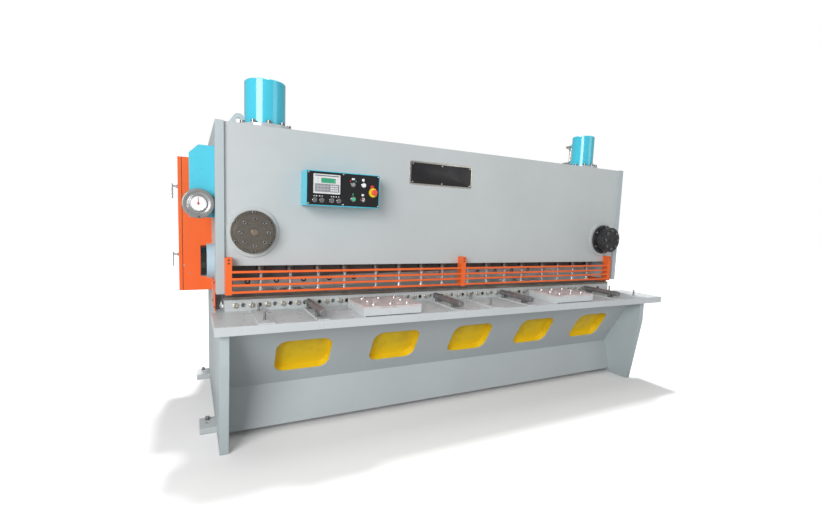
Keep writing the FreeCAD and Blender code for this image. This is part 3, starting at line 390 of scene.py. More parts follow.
# partly wear and partly a painted highlight: the edges turn towards a pale steel colour
rub_and_highlight_mask = add(metal_skin, "ShaderNodeMapRange", {"Value": turn.outputs["Value"], "From Min": 0.995,
             "From Max": 0.9})
rub_and_highlight_amount = add(metal_skin, "ShaderNodeMath", {0: rub_and_highlight_mask.outputs["Result"],
                 1: given.outputs["Rub and highlight"]}, operation="MULTIPLY")
worn_and_highlit_edge = add(metal_skin, "ShaderNodeMix", {0: rub_and_highlight_amount.outputs["Value"],
                  6: metal_tone.outputs[2], 7: (0.85, 0.84, 0.82, 1.0)}, data_type="RGBA")
rough_out = add(metal_skin, "ShaderNodeMapRange", {"Value": blotch.outputs["Fac"], "From Min": 0.3,
                "From Max": 0.7, "To Min": given.outputs["Rough low"],
                "To Max": given.outputs["Rough high"]})
scratch = add(metal_skin, "ShaderNodeBump", {"Height": grain.outputs["Fac"], "Distance": 0.0004,
              "Strength": given.outputs["Depth"], "Normal": edge_bevel.outputs["Normal"]})
metal_skin.links.new(worn_and_highlit_edge.outputs[2], result.inputs["Colour"])
metal_skin.links.new(rough_out.outputs["Result"], result.inputs["Roughness"])
metal_skin.links.new(scratch.outputs["Normal"], result.inputs["Normal"])


def metal(name, light, dark, rough=(0.25, 0.4), grain_along=(40, 900, 900), blotch_scale=9.0,
          depth=0.25, rub_and_highlight=0.6, metallic=1.0):
    """Bare or chemically finished metal with a worked grain."""
    finish = bpy.data.materials.new(name)
    finish.use_nodes = True
    tree = finish.node_tree
    shader = tree.nodes["Principled BSDF"]
    place = add(tree, "ShaderNodeTexCoord")
    skin = add(tree, "ShaderNodeGroup", node_tree=metal_skin)
    values = {"Light": tuple(light) + (1.0,), "Dark": tuple(dark) + (1.0,), "Grain": grain_along,
              "Blotch scale": blotch_scale, "Rough low": rough[0], "Rough high": rough[1],
              "Depth": depth, "Rub and highlight": rub_and_highlight}
    for key, value in values.items():
        skin.inputs[key].default_value = value
    tree.links.new(place.outputs["Object"], skin.inputs["Place"])
    for key, socket in (("Colour", "Base Color"), ("Roughness", "Roughness"), ("Normal", "Normal")):
        tree.links.new(skin.outputs[key], shader.inputs[socket])
    shader.inputs["Metallic"].default_value = metallic
    return finish


black_anodised = metal("black_anodised", (0.03, 0.03, 0.032), (0.018, 0.018, 0.02), (0.3, 0.42),
                       (60, 900, 1400), rub_and_highlight=0.2, metallic=0.4)
bare_rim = metal("bare_rim", (0.72, 0.70, 0.64), (0.5, 0.48, 0.43), (0.2, 0.34), (60, 900, 1400))
sign_x0, sign_x1, sign_z0, sign_z1 = -0.520, 0.062, 1.765, 1.949
rim_w = 0.012
slab("nameplate_rim", sign_x0, sign_x1, sign_z0, sign_z1, face - 0.0001, face - 0.0025, 0.018,
     bare_rim, slot="polished_steel")
slab("nameplate_field", sign_x0 + rim_w, sign_x1 - rim_w, sign_z0 + rim_w, sign_z1 - rim_w,
     face - 0.0022, face - 0.0040, 0.010, black_anodised, slot="black_lacquer")

# heads on places: a turned head with a hexagon socket cut in it, at each point, turned at random
head_tree, taken = recipe("socket_heads", {"Radius": "Float", "Height": "Float",
                          "Socket": "Float", "Facing": "Vector", "Seed": "Int"})
blank = join(head_tree, "GeometryNodeMeshCylinder", {"Vertices": 20, "Radius": taken["Radius"],
             "Depth": taken["Height"]}, fill_type="NGON")
hexagon = join(head_tree, "GeometryNodeMeshCylinder", {"Vertices": 6, "Radius": taken["Socket"],
               "Depth": taken["Height"]}, fill_type="NGON")
half = join(head_tree, "ShaderNodeMath", {0: taken["Height"], 1: 0.5}, operation="MULTIPLY")
raised = join(head_tree, "ShaderNodeCombineXYZ", {"Z": half})
hexagon = join(head_tree, "GeometryNodeTransform", {"Geometry": hexagon, "Translation": raised})
head = join(head_tree, "GeometryNodeMeshBoolean", {"Mesh 1": blank, "Mesh 2": hexagon},
            operation="DIFFERENCE")
spin = add(head_tree, "FunctionNodeRandomValue", {2: 0.0, 3: 6.28, "Seed": taken["Seed"]},
           data_type="FLOAT").outputs[1]
spun = join(head_tree, "ShaderNodeCombineXYZ", {"Z": spin})
faced = join(head_tree, "FunctionNodeRotateEuler", {0: spun, 1: taken["Facing"]})
heads = join(head_tree, "GeometryNodeInstanceOnPoints", {"Points": taken["Path"],
             "Instance": head, "Rotation": faced})
sealed(head_tree, heads, taken["Finish"])
TO_FRONT = (math.pi / 2, 0, 0)

rivet_x = (sign_x0 + 0.026, (sign_x0 + sign_x1) / 2, sign_x1 - 0.026)
rivet_z = (sign_z0 + 0.022, sign_z1 - 0.022)
made_by(head_tree, "nameplate_rivets", [(x, face - 0.0048, z) for x in rivet_x for z in rivet_z],
        [], bare_rim, slot="polished_steel", Radius=0.0055, Height=0.0022, Socket=0.0016,
        Facing=TO_FRONT, Seed=1)


# ------------------------------------------------------------------ bed, wear plate and lower blade
# A heavy welded bed in the same enamel. Zinc-plated screws hold the lower blade's seat from the
# front, with open jack-screw holes and dark lock screws between them; a ground wear plate
# lies on top.
dress(body_grey, "bed", "rear_beam")
zinc = metal("zinc_plating", (0.80, 0.76, 0.66), (0.52, 0.49, 0.42), (0.22, 0.42), (300, 300, 300),
             blotch_scale=60.0, depth=0.15)
dress(zinc, "bed_bolts")
wear_steel = metal("wear_plate_steel", (0.40, 0.36, 0.31), (0.20, 0.175, 0.15), (0.32, 0.55),
                   (14, 300, 600), blotch_scale=6.0, depth=0.4)
dress(wear_steel, "bed_top_plate")
blade_steel = metal("blade_steel", (0.50, 0.49, 0.47), (0.24, 0.23, 0.22), (0.2, 0.4),
                    (500, 500, 30), blotch_scale=11.0)
dress(blade_steel, "lower_blade")

black_steel = metal("black_oxide_steel", (0.045, 0.045, 0.05), (0.02, 0.02, 0.022), (0.3, 0.5),
                    (200, 200, 200), blotch_scale=40.0, rub_and_highlight=0.35, metallic=0.8)
bolt_lo, bolt_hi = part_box("bed_bolts")
bed_face = bolt_lo.y + 0.009
bolt_r = 0.0175
bed_bolt_z = (bolt_lo.z + bolt_hi.z) / 2
bolt_pitch = 0.0518
bolt_x0 = bolt_lo.x + bolt_r
bolt_count = round((bolt_hi.x - bolt_r - bolt_x0) / (2 * bolt_pitch)) + 1
lock_places = [(bolt_x0 + (2 * i + 1) * bolt_pitch, bed_face - 0.002, bed_bolt_z)
               for i in range(1, bolt_count, 2)]
made_by(head_tree, "bed_lock_screws", lock_places, [], black_steel, slot="black_oxide",
        Radius=0.0125, Height=0.005, Socket=0.0072, Facing=TO_FRONT, Seed=5)


def turned(name, profile, places, finish, axis=(0, -1, 0), steps=24, **more):
    """Lathe-turned rings: profile is a closed loop of (radius, height along the axis)."""
    out = Vector(axis).normalized()
    side = out.orthogonal().normalized()
    over = out.cross(side)
    bm = bmesh.new()
    for place in places:
        middle = Vector(place)
        loops = []
        for k in range(steps):
            a = 2 * math.pi * k / steps
            ray = side * math.cos(a) + over * math.sin(a)
            loops.append([bm.verts.new(middle + ray * r + out * h) for r, h in profile])
        for k in range(steps):
            low, high = loops[k], loops[(k + 1) % steps]
            for i in range(len(profile)):
                j = (i + 1) % len(profile)
                bm.faces.new((low[i], low[j], high[j], high[i]))
    bmesh.ops.remove_doubles(bm, verts=bm.verts, dist=1e-6)
    bmesh.ops.recalc_face_normals(bm, faces=bm.faces)
    mesh = bpy.data.meshes.new(name)
    bm.to_mesh(mesh)
    bm.free()
    mesh.shade_smooth()
    mesh.set_sharp_from_angle(angle=math.radians(32))
    return hung(name, mesh, finish, **more)


washer = [(0.0128, 0.0), (0.0165, 0.0), (0.0165, 0.0012), (0.0158, 0.0018), (0.0128, 0.0018)]
turned("bed_lock_washers", washer, [(x, bed_face, z) for x, _, z in lock_places], zinc,
       slot="zinc_plate")
bolt_places = [(bolt_x0 + 2 * i * bolt_pitch, bolt_lo.y, bed_bolt_z) for i in range(bolt_count)]
dome = [(0.0, 0.0), (0.0160, 0.0), (0.0155, 0.0028), (0.0098, 0.0048), (0.0068, 0.0048),
        (0.0062, 0.0012), (0.0, 0.0012)]
turned("bed_bolt_crowns", dome, bolt_places, zinc, slot="zinc_plate", steps=18)

# ------------------------------------------------------------------ work table
# A 55 mm plate with welded strips for the pins and rollers, all sprayed. The strips are milled
# on top, and a ruler is engraved along the left one in plain millimetre steps.
table_grey = enamel("table_grey", (0.585, 0.62, 0.63), roughness=0.3, drift=2.2, edge=0.6)
dress(table_grey, "work_table")
table_lo, table_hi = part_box("work_table")
table_top = 0.836
strip_top = table_hi.z
pin_x = [-1.635, 0.090, 1.815]
tick_tree, taken = recipe("ruler_ticks", {"Count": "Int", "Pitch": "Float", "Length": "Float",
                          "Width": "Float"})
step_back = join(tick_tree, "ShaderNodeCombineXYZ", {"Y": taken["Pitch"]})
run = join(tick_tree, "GeometryNodeMeshLine", {"Count": taken["Count"], "Offset": step_back})
size = join(tick_tree, "ShaderNodeCombineXYZ", {"X": taken["Length"], "Y": taken["Width"],
            "Z": 0.0003})
tick = join(tick_tree, "GeometryNodeMeshCube", {"Size": size})
ticks = join(tick_tree, "GeometryNodeInstanceOnPoints", {"Points": run, "Instance": tick})
rules = join(tick_tree, "GeometryNodeInstanceOnPoints", {"Points": taken["Path"],
             "Instance": ticks})
sealed(tick_tree, rules, taken["Finish"])
made_by(tick_tree, "strip_ruler_ticks", [(x + 0.030, table_lo.y + 0.03, strip_top + 0.0001)
        for x in pin_x], [], black_steel, slot="black_oxide", Count=34, Pitch=0.01,
        Length=0.012, Width=0.0012)
plug_z = table_top + 0.0015
table_screws = [(-1.722, y, plug_z) for y in (-0.758, -1.040)]
table_screws += [(x, -0.745, plug_z) for x in (-0.545, 0.300, 1.180)]
made_by(head_tree, "table_plugs", table_screws, [], zinc, slot="zinc_plate", Radius=0.008,
        Height=0.003, Socket=0.004, Facing=(0, 0, 0), Seed=9)

# ------------------------------------------------------------------ ball plates
# Two folded and welded trays that carry eight hard steel balls each, in pressed cups. The top is
# ground steel with a faint rosy tarnish, the sides are sprayed.
plate_low, plate_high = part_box("ball_plates")
ball_top = enamel("ball_plate_coat", (0.60, 0.635, 0.645), roughness=0.3, drift=5.0, edge=0.8)
tree, place = spot(ball_top)
height = add(tree, "ShaderNodeSeparateXYZ", {0: place})
on_top = add(tree, "ShaderNodeMath", {0: height.outputs["Z"], 1: plate_high.z - 0.0165},
             operation="GREATER_THAN")
tarnish = add(tree, "ShaderNodeTexNoise", {"Vector": place, "Scale": 9.0, "Detail": 7.0,
              "Roughness": 0.65})
rosy = add(tree, "ShaderNodeValToRGB", {"Fac": tarnish.outputs["Fac"]})
for point, (at, colour) in zip((rosy.color_ramp.elements[0], rosy.color_ramp.elements[1]),
                               ((0.36, (0.50, 0.43, 0.43, 1)), (0.66, (0.70, 0.67, 0.665, 1)))):
    point.position, point.color = at, colour
overpaint(ball_top, on_top.outputs["Value"], rosy.outputs["Color"])
dress(ball_top, "ball_plates")
ball_chrome = metal("ball_steel", (0.86, 0.86, 0.86), (0.7, 0.7, 0.7), (0.06, 0.12), (50, 50, 50),
                    depth=0.02)
dress(ball_chrome, "transfer_balls")
ball_z = plate_high.z - 0.016
cup = [(0.0146, -0.0005), (0.0215, -0.0005), (0.0215, 0.0012), (0.0200, 0.0024), (0.0160, 0.0030),
       (0.0146, 0.0022)]
balls_x = (-0.800, 0.925)
ball_mid_y = (plate_low.y + plate_high.y) / 2
cup_places = [(x + i * 0.128, ball_mid_y + j * 0.110, ball_z) for x in balls_x
              for i in (-1, 0, 1) for j in (-1, 0, 1) if i or j]
turned("ball_cups", cup, cup_places, ball_chrome, axis=(0, 0, 1), slot="polished_steel")
# painted shade: a thin black strip at the foot of each plate's front stands for the shadow under
# its edge
for name, x in zip(("left", "right"), balls_x):
    slab("ball_plate_gap_shade_" + name, x - 0.205, x + 0.2145, table_top + 0.0005, table_top + 0.0045,
         plate_low.y - 0.0002, plate_low.y - 0.0009, 0.0012, black_steel, bevel=0.0003,
         slot="black_oxide")

# ------------------------------------------------------------------ rollers, saddles and pins
# Four plain steel rollers in forked saddles, and six dowel pins with bright worn tips that square
# the sheet. The rollers are hardened and blued to a dark purple grey.
roller_steel = metal("roller_steel", (0.31, 0.30, 0.31), (0.15, 0.145, 0.15), (0.36, 0.52),
                     (260, 22, 260), blotch_scale=16.0, depth=0.3, metallic=0.55)
dress(roller_steel, *["table_roller_%d" % i for i in (1, 2, 3, 4)])
saddle_steel = metal("saddle_steel", (0.44, 0.43, 0.42), (0.16, 0.155, 0.15), (0.3, 0.5),
                     (250, 250, 60), blotch_scale=30.0)
dress(saddle_steel, "table_posts")

# ------------------------------------------------------------------ apron and its yellow trays
# A 7 mm folded sheet with five windows; behind each a pressed tray sprayed in safety yellow, with
# blotches of grime, and painted shade darkening it towards the top. The apron is sprayed with the
# frame.
apron_grey = enamel("apron_grey", (0.475, 0.52, 0.535), roughness=0.45, drift=1.1)
dress(apron_grey, "apron")
tray_yellow = enamel("tray_yellow", (0.87, 0.60, 0.012), roughness=0.42, drift=4.0, edge=0.35)
tree, place = spot(tray_yellow)
grime = add(tree, "ShaderNodeTexNoise", {"Vector": place, "Scale": 5.0, "Detail": 8.0,
            "Roughness": 0.7})
tray_height = add(tree, "ShaderNodeSeparateXYZ", {0: place})
# painted shade: each tray is coloured darker towards its top
painted_top_shade = add(tree, "ShaderNodeMapRange", {"Value": tray_height.outputs["Z"], "From Min": 0.72,
              "From Max": 0.42, "To Min": 0.30, "To Max": -0.05})
grime_and_top_shade = add(tree, "ShaderNodeMath", {0: grime.outputs["Fac"], 1: painted_top_shade.outputs["Result"]},
           operation="ADD")
grime_and_shade_mask = add(tree, "ShaderNodeMapRange", {"Value": grime_and_top_shade.outputs["Value"], "From Min": 0.55,
            "From Max": 0.95, "To Max": 0.62})
# blotches of grime and the painted top shade both mix in this dark mustard
overpaint(tray_yellow, grime_and_shade_mask.outputs["Result"], (0.36, 0.22, 0.03, 1.0))
dress(tray_yellow, "apron_liner")

# ------------------------------------------------------------------ finger and throat guards
# Four square bars welded to three folded posts, and a bent cover over each throat. All are
# powder coated bright orange.
guard_orange = enamel("guard_orange", (0.90, 0.145, 0.022), roughness=0.36, drift=1.8, edge=0.4)
dress(guard_orange, "finger_guard", "throat_guards")

# ------------------------------------------------------------------ ram, upper blade, piston rods
# A ribbed steel plate that slides between the guides, sprayed grey where it isn't machined. The
# blade is held by countersunk screws, all but flush so that they pass the lower blade, and hard
# chromed rods drive it.
# painted shade: the ram's grey is coloured near black for the shadow behind the guard bars
ram_shade_paint = enamel("ram_grey_painted_shade", (0.13, 0.115, 0.11), roughness=0.45, drift=6.0)
dress(ram_shade_paint, "ram")
chrome = metal("hard_chrome", (0.82, 0.83, 0.84), (0.6, 0.6, 0.61), (0.08, 0.16), (300, 300, 20),
               depth=0.05)
dress(chrome, "piston_rods", "hold_down_plungers")
clamp_steel = metal("upper_blade_steel", (0.66, 0.61, 0.60), (0.36, 0.32, 0.31), (0.3, 0.5),
                    (8, 300, 60), blotch_scale=7.0, metallic=0.5)
dress(clamp_steel, "upper_blade")
blade_lo, blade_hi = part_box("upper_blade")
blade_len = blade_hi.x - blade_lo.x
blade_rise = (blade_hi.z - blade_lo.z - 0.080)
blade_screws = []
for i in range(18):
    share = (i + 0.5) / 18
    blade_screws.append((blade_lo.x + share * blade_len, blade_lo.y + 0.0009,
                         blade_lo.z + 0.056 + share * blade_rise))
made_by(head_tree, "blade_screws", blade_screws, [], black_steel, "ram_assembly", "black_oxide",
        Radius=0.0190, Height=0.002, Socket=0.0090, Facing=TO_FRONT, Seed=11)

# ------------------------------------------------------------------ main cylinders
# Two bored steel barrels, sprayed glossy cyan above their grey flanges and held by ten black
# bolts each; the left one is larger, because its rod side feeds the right one.
cylinder_cyan = enamel("cylinder_cyan", (0.055, 0.55, 0.72), roughness=0.16, drift=2.0, edge=0.25,
                       peel=0.06, coat=0.6)
tree, place = spot(cylinder_cyan)
height = add(tree, "ShaderNodeSeparateXYZ", {0: place})
beam_top = 2.067
is_flange = add(tree, "ShaderNodeMath", {0: height.outputs["Z"], 1: beam_top + 0.0305},
                operation="LESS_THAN")
overpaint(cylinder_cyan, is_flange.outputs["Value"], (0.46, 0.49, 0.50, 1.0))
dress(cylinder_cyan, "main_cylinder_left", "main_cylinder_right")
bolt_steel = metal("bolt_steel", (0.36, 0.35, 0.34), (0.15, 0.145, 0.14), (0.25, 0.42),
                   (220, 220, 220), blotch_scale=50.0, rub_and_highlight=0.7)
dress(bolt_steel, "cylinder_bolts", "guide_bolts")
dress(black_steel, "socket_screws")
crowns = []
for name, radius in (("main_cylinder_left", 0.163), ("main_cylinder_right", 0.131)):
    low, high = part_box(name)
    middle_x = (low.x + high.x) / 2
    for k in range(10):
        a = math.radians(18 + 36 * k)
        crowns.append((middle_x + radius * math.cos(a), -0.459 + radius * math.sin(a),
                       beam_top + 0.0505))
made_by(head_tree, "cylinder_bolt_crowns", crowns, [], bolt_steel, slot="black_oxide",
        Radius=0.0138, Height=0.003, Socket=0.007, Facing=(0, 0, 0), Seed=21)

# ------------------------------------------------------------------ front guides
# Turned flanges with a raised cylinder whose pad bears on the ram's rail. The left one is bare
# steel darkened by oil; the right one is blackened. Both sit on sprayed rings.
turned_skin, given, result = effect(
    "turning_marks", {"Place": "Vector", "Light": "Color", "Dark": "Color", "Pitch": "Float",
                      "Depth": "Float"},
    {"Colour": "Color", "Roughness": "Float", "Normal": "Vector"})
spread_out = add(turned_skin, "ShaderNodeVectorMath", {0: given.outputs["Place"],
                 1: (1.0, 0.0, 1.0)}, operation="MULTIPLY")
reach = add(turned_skin, "ShaderNodeVectorMath", {0: spread_out.outputs["Vector"]},
            operation="LENGTH")
rings = add(turned_skin, "ShaderNodeMath", {0: reach.outputs["Value"], 1: given.outputs["Pitch"]},
            operation="MULTIPLY")
ring_noise = add(turned_skin, "ShaderNodeTexNoise", {"W": rings.outputs["Value"], "Scale": 1.0,
                 "Detail": 3.0}, noise_dimensions="1D")
oil = add(turned_skin, "ShaderNodeTexNoise", {"Vector": given.outputs["Place"], "Scale": 16.0,
          "Detail": 6.0, "Roughness": 0.65})
both = add(turned_skin, "ShaderNodeMath", {0: ring_noise.outputs["Fac"], 1: oil.outputs["Fac"]},
           operation="ADD")
both_range = add(turned_skin, "ShaderNodeMapRange", {"Value": both.outputs["Value"],
                 "From Min": 0.7, "From Max": 1.3})
tone = add(turned_skin, "ShaderNodeMix", {0: both_range.outputs["Result"],
           6: given.outputs["Light"], 7: given.outputs["Dark"]}, data_type="RGBA")
soft = add(turned_skin, "ShaderNodeBevel", {"Radius": 0.002}, samples=4)
cut_marks = add(turned_skin, "ShaderNodeBump", {"Height": ring_noise.outputs["Fac"],
                "Distance": 0.0005, "Strength": given.outputs["Depth"],
                "Normal": soft.outputs["Normal"]})
oil_rough = add(turned_skin, "ShaderNodeMapRange", {"Value": oil.outputs["Fac"], "From Min": 0.3,
                "From Max": 0.7, "To Min": 0.22, "To Max": 0.45})
turned_skin.links.new(tone.outputs[2], result.inputs["Colour"])
turned_skin.links.new(oil_rough.outputs["Result"], result.inputs["Roughness"])
turned_skin.links.new(cut_marks.outputs["Normal"], result.inputs["Normal"])


def lathe_finish(name, light, dark, centre, metallic=0.9, pitch=700.0, depth=0.35):
    """Metal that shows turning marks round an axis along Y through centre."""
    finish = bpy.data.materials.new(name)
    finish.use_nodes = True
    tree = finish.node_tree
    shader = tree.nodes["Principled BSDF"]
    place = add(tree, "ShaderNodeTexCoord")
    centred = add(tree, "ShaderNodeMapping", {"Vector": place.outputs["Object"],
                  "Location": (-centre[0], -centre[1], -centre[2])})
    skin = add(tree, "ShaderNodeGroup", node_tree=turned_skin)
    values = {"Light": tuple(light) + (1.0,), "Dark": tuple(dark) + (1.0,), "Pitch": pitch,
              "Depth": depth}
    for key, value in values.items():
        skin.inputs[key].default_value = value
    tree.links.new(centred.outputs["Vector"], skin.inputs["Place"])
    for key, socket in (("Colour", "Base Color"), ("Roughness", "Roughness"), ("Normal", "Normal")):
        tree.links.new(skin.outputs[key], shader.inputs[socket])
    shader.inputs["Metallic"].default_value = metallic
    return finish


guide_x, guide_z = 1.667, 1.370
dress(lathe_finish("oiled_flange_steel", (0.30, 0.275, 0.235), (0.14, 0.125, 0.105),
                   (-guide_x, 0, guide_z)), "front_guide_left")
dress(lathe_finish("blackened_flange_steel", (0.085, 0.085, 0.088), (0.035, 0.035, 0.038),
                   (guide_x, 0, guide_z), metallic=0.7), "front_guide_right")
guide_rings = []
for side, cap_y in ((-1, -0.774), (1, -0.812)):
    for radius, count, start, y in ((0.1305, 6, 30, -0.728), (0.088, 8, 0, cap_y)):
        for k in range(count):
            a = math.radians(start + 360 * k / count)
            guide_rings.append((side * guide_x + radius * math.cos(a), y,
                                guide_z + radius * math.sin(a)))
turned("guide_bolt_rims", [(0.0062, -0.001), (0.0107, -0.001), (0.0107, 0.0006), (0.0100, 0.0014),
                           (0.0070, 0.0014), (0.0062, 0.0006)], guide_rings, bolt_steel,
       slot="black_oxide")
# painted shade: black hexagons in the bolt rims stand for the dark inside of the sockets
turned("guide_bolt_socket_shade", [(0.0, 0.0), (0.0063, 0.0), (0.0063, 0.0004), (0.0, 0.0004)],
       guide_rings, black_steel, slot="black_oxide", steps=6)
bronze = metal("guide_centre_bronze", (0.50, 0.40, 0.30), (0.28, 0.22, 0.16), (0.28, 0.42),
               (300, 300, 300), blotch_scale=30.0)
turned("guide_centres", [(0.0, 0.0), (0.0205, 0.0), (0.0205, 0.0010), (0.0190, 0.0020),
                         (0.0030, 0.0020), (0.0022, 0.0008), (0.0, 0.0008)],
       [(-guide_x, -0.768, guide_z)], bronze, slot="polished_steel", steps=40)

# ------------------------------------------------------------------ side caps
# The lateral guides are turned steel: a sprayed clamping ring against the side plate, bolted from
# inside, and a black lacquered cap over the pad's adjuster.
cap_lacquer = enamel("side_cap_lacquer", (0.012, 0.012, 0.014), roughness=0.18, edge=0.2, peel=0.05,
                     coat=0.5)
tree, place = spot(cap_lacquer)
sideways = add(tree, "ShaderNodeSeparateXYZ", {0: place})
reach = add(tree, "ShaderNodeMath", {0: sideways.outputs["X"]}, operation="ABSOLUTE")
on_ring = add(tree, "ShaderNodeMath", {0: reach.outputs["Value"], 1: 1.9435},
              operation="LESS_THAN")
overpaint(cap_lacquer, on_ring.outputs["Value"], (0.47, 0.58, 0.66, 1.0))
dress(cap_lacquer, "side_caps")

# ------------------------------------------------------------------ hold-downs
# Sixteen single-acting cylinders in the front beam's shelf, blackened, each with a chromed
# plunger. They come down first and hold the sheet.
cast_dark = metal("hold_down_steel", (0.20, 0.18, 0.165), (0.075, 0.066, 0.06), (0.35, 0.55),
                  (120, 120, 40), blotch_scale=25.0, depth=0.2)
dress(cast_dark, "hold_down_cylinders")

# ------------------------------------------------------------------ control panel
# A folded box sprayed cyan with a black lacquered face. It carries an operator unit with a
# green display and membrane keys, four jog buttons, a start button, lamp, selector, key and stop.
dress(enamel("panel_cyan", (0.075, 0.56, 0.72), roughness=0.3, edge=0.5), "panel_box")
face_black = enamel("face_lacquer", (0.004, 0.0045, 0.006), roughness=0.5, drift=4.0, edge=0.2)
dress(face_black, "panel_face")
unit_plastic = enamel("unit_plastic", (0.72, 0.73, 0.75), roughness=0.45, drift=6.0, edge=0.2)
dress(unit_plastic, "operator_unit")
bright = metal("bright_chrome", (0.88, 0.88, 0.88), (0.72, 0.72, 0.73), (0.08, 0.18), (90, 90, 90),
               depth=0.04)


def moulded(name, colour, roughness=0.3, coat=0.3):
    """Moulded plastic with a faint flow pattern."""
    return enamel(name, colour, roughness=roughness, drift=30.0, edge=0.25, peel=0.03, coat=coat)


unit_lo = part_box("operator_unit")[0]
unit_front = unit_lo.y
dark_strip = moulded("unit_dark_strip", (0.16, 0.16, 0.18))
display_green = moulded("display_green", (0.035, 0.36, 0.19), roughness=0.12, coat=0.8)
key_grey = moulded("key_grey", (0.42, 0.43, 0.46), roughness=0.5)
key_white = moulded("key_white", (0.78, 0.79, 0.82), roughness=0.5)
pad_grey = moulded("keypad_membrane", (0.27, 0.28, 0.31), roughness=0.5)
slab("display_pane", -1.2555, -1.1565, 1.7145, 1.7455, unit_front + 0.0025, unit_front - 0.0006,
     0.002, display_green, slot="green_plastic")
slab("unit_header_strip", -1.298, -1.132, 1.7575, 1.7645, unit_front + 0.0008,
     unit_front - 0.0008, 0.002, dark_strip, bevel=0.0004, slot="grey_plastic")
slab("keypad_membrane", -1.2985, -1.1315, 1.6545, 1.7065, unit_front + 0.0015,
     unit_front - 0.0002, 0.003, pad_grey, bevel=0.0003, slot="grey_plastic")

# membrane keys: a grid of pillowed keys, columns by rows, from its lower left key
key_tree, taken = recipe("membrane_keys", {"Columns": "Int", "Rows": "Int", "Pitch X": "Float",
                         "Pitch Z": "Float", "Width": "Float", "Height": "Float",
                         "Corner": "Float", "Rise": "Float"})
across = join(key_tree, "ShaderNodeCombineXYZ", {"X": taken["Pitch X"]})
upward = join(key_tree, "ShaderNodeCombineXYZ", {"Z": taken["Pitch Z"]})
row = join(key_tree, "GeometryNodeMeshLine", {"Count": taken["Columns"], "Offset": across})
column = join(key_tree, "GeometryNodeMeshLine", {"Count": taken["Rows"], "Offset": upward})
outline = join(key_tree, "GeometryNodeCurvePrimitiveQuadrilateral",
               {"Width": taken["Width"], "Height": taken["Height"]})
eased = join(key_tree, "GeometryNodeFilletCurve", {"Curve": outline, "Radius": taken["Corner"],
             "Count": 3}, mode="POLY")
top = join(key_tree, "GeometryNodeFillCurve", {"Curve": eased}, mode="NGONS")
raised = join(key_tree, "GeometryNodeExtrudeMesh", {"Mesh": top, "Offset Scale": taken["Rise"]})
both_sides = join(key_tree, "GeometryNodeFlipFaces", {"Mesh": top})
key_body = join(key_tree, "GeometryNodeJoinGeometry", {"Geometry": raised})
key_tree.links.new(both_sides, key_tree.nodes[-1].inputs[0])
upright = join(key_tree, "GeometryNodeTransform", {"Geometry": key_body,
               "Rotation": (math.pi / 2, 0, 0)})
one_row = join(key_tree, "GeometryNodeInstanceOnPoints", {"Points": row, "Instance": upright})
all_rows = join(key_tree, "GeometryNodeInstanceOnPoints", {"Points": column,
                "Instance": one_row})
placed = join(key_tree, "GeometryNodeInstanceOnPoints", {"Points": taken["Path"],
              "Instance": all_rows})
sealed(key_tree, placed, taken["Finish"])
pad_y = unit_front - 0.0002
made_by(key_tree, "membrane_keys_left", [(-1.277, pad_y, 1.6705)], [], key_grey,
        slot="grey_plastic", Columns=4, Rows=2, Pitch_X=0.0215, Pitch_Z=0.0205, Width=0.0165,
        Height=0.0125, Corner=0.002, Rise=0.0009)
made_by(key_tree, "membrane_keys_right", [(-1.187, pad_y, 1.6655)], [], key_white,
        slot="white_plastic", Columns=4, Rows=3, Pitch_X=0.0135, Pitch_Z=0.0145, Width=0.0105,
        Height=0.0105, Corner=0.0015, Rise=0.0009)

face_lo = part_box("panel_face")[0]
panel_y = face_lo.y + 0.005                   # the face itself, behind the bezels
jog_x, jog_z = (-1.296, -1.248, -1.179, -1.130), 1.599


def bezel_profile(inner, outer, height):
    return [(inner, 0.0), (outer, 0.0), (outer, height * 0.55), (outer - 0.0012, height),
            (inner + 0.0006, height), (inner, height * 0.8)]


def bezels(name, places, inner, outer, height, finish=bright, slot="polished_steel"):
    turned(name, bezel_profile(inner, outer, height), [(x, panel_y, z) for x, z in places],
           finish, slot=slot, steps=32)


bezels("jog_bezels", [(x, jog_z) for x in jog_x], 0.0116, 0.0164, 0.0064)
bezels("start_and_lamp_bezels", [(-1.026, 1.617), (-0.951, 1.717)], 0.0146, 0.0188, 0.0064)
bezels("turner_bezels", [(-1.028, 1.715), (-0.955, 1.616)], 0.0150, 0.0178, 0.0064)
stop_yellow = moulded("stop_ring_yellow", (0.90, 0.66, 0.015), roughness=0.4)
bezels("stop_ring", [(-0.878, 1.670)], 0.0128, 0.0325, 0.0046, stop_yellow, "yellow_paint")

button_grey = moulded("button_grey", (0.13, 0.135, 0.15))
dress(button_grey, "jog_button_1", "jog_button_2", "jog_button_3", "jog_button_4")
dress(moulded("start_green", (0.08, 0.52, 0.28)), "start_button")
dress(moulded("lamp_white", (0.90, 0.91, 0.92), roughness=0.2), "lamp_button")
knob = moulded("selector_grey", (0.30, 0.31, 0.33))
dress(knob, "mode_selector")
dress(metal("key_nickel", (0.62, 0.58, 0.52), (0.36, 0.33, 0.29), (0.2, 0.35), (200, 200, 200)),
      "key_switch")
stop_red = moulded("stop_red", (0.80, 0.085, 0.045), roughness=0.22)
dress(stop_red, "emergency_stop")

# engraved tags and marks of the panel, blank or plain arrows
tag_white = moulded("tag_white", (0.86, 0.87, 0.89), roughness=0.4)
mark_red = moulded("mark_red", (0.72, 0.03, 0.03), roughness=0.4)
mark_green = moulded("mark_green", (0.05, 0.40, 0.20), roughness=0.4)
tag_y = panel_y - 0.0008


def tag(name, x, z, width, height, radius, finish, slot):
    slab(name, x - width / 2, x + width / 2, z - height / 2, z + height / 2, panel_y + 0.0002,
         tag_y, radius, finish, bevel=0.0003, slot=slot)


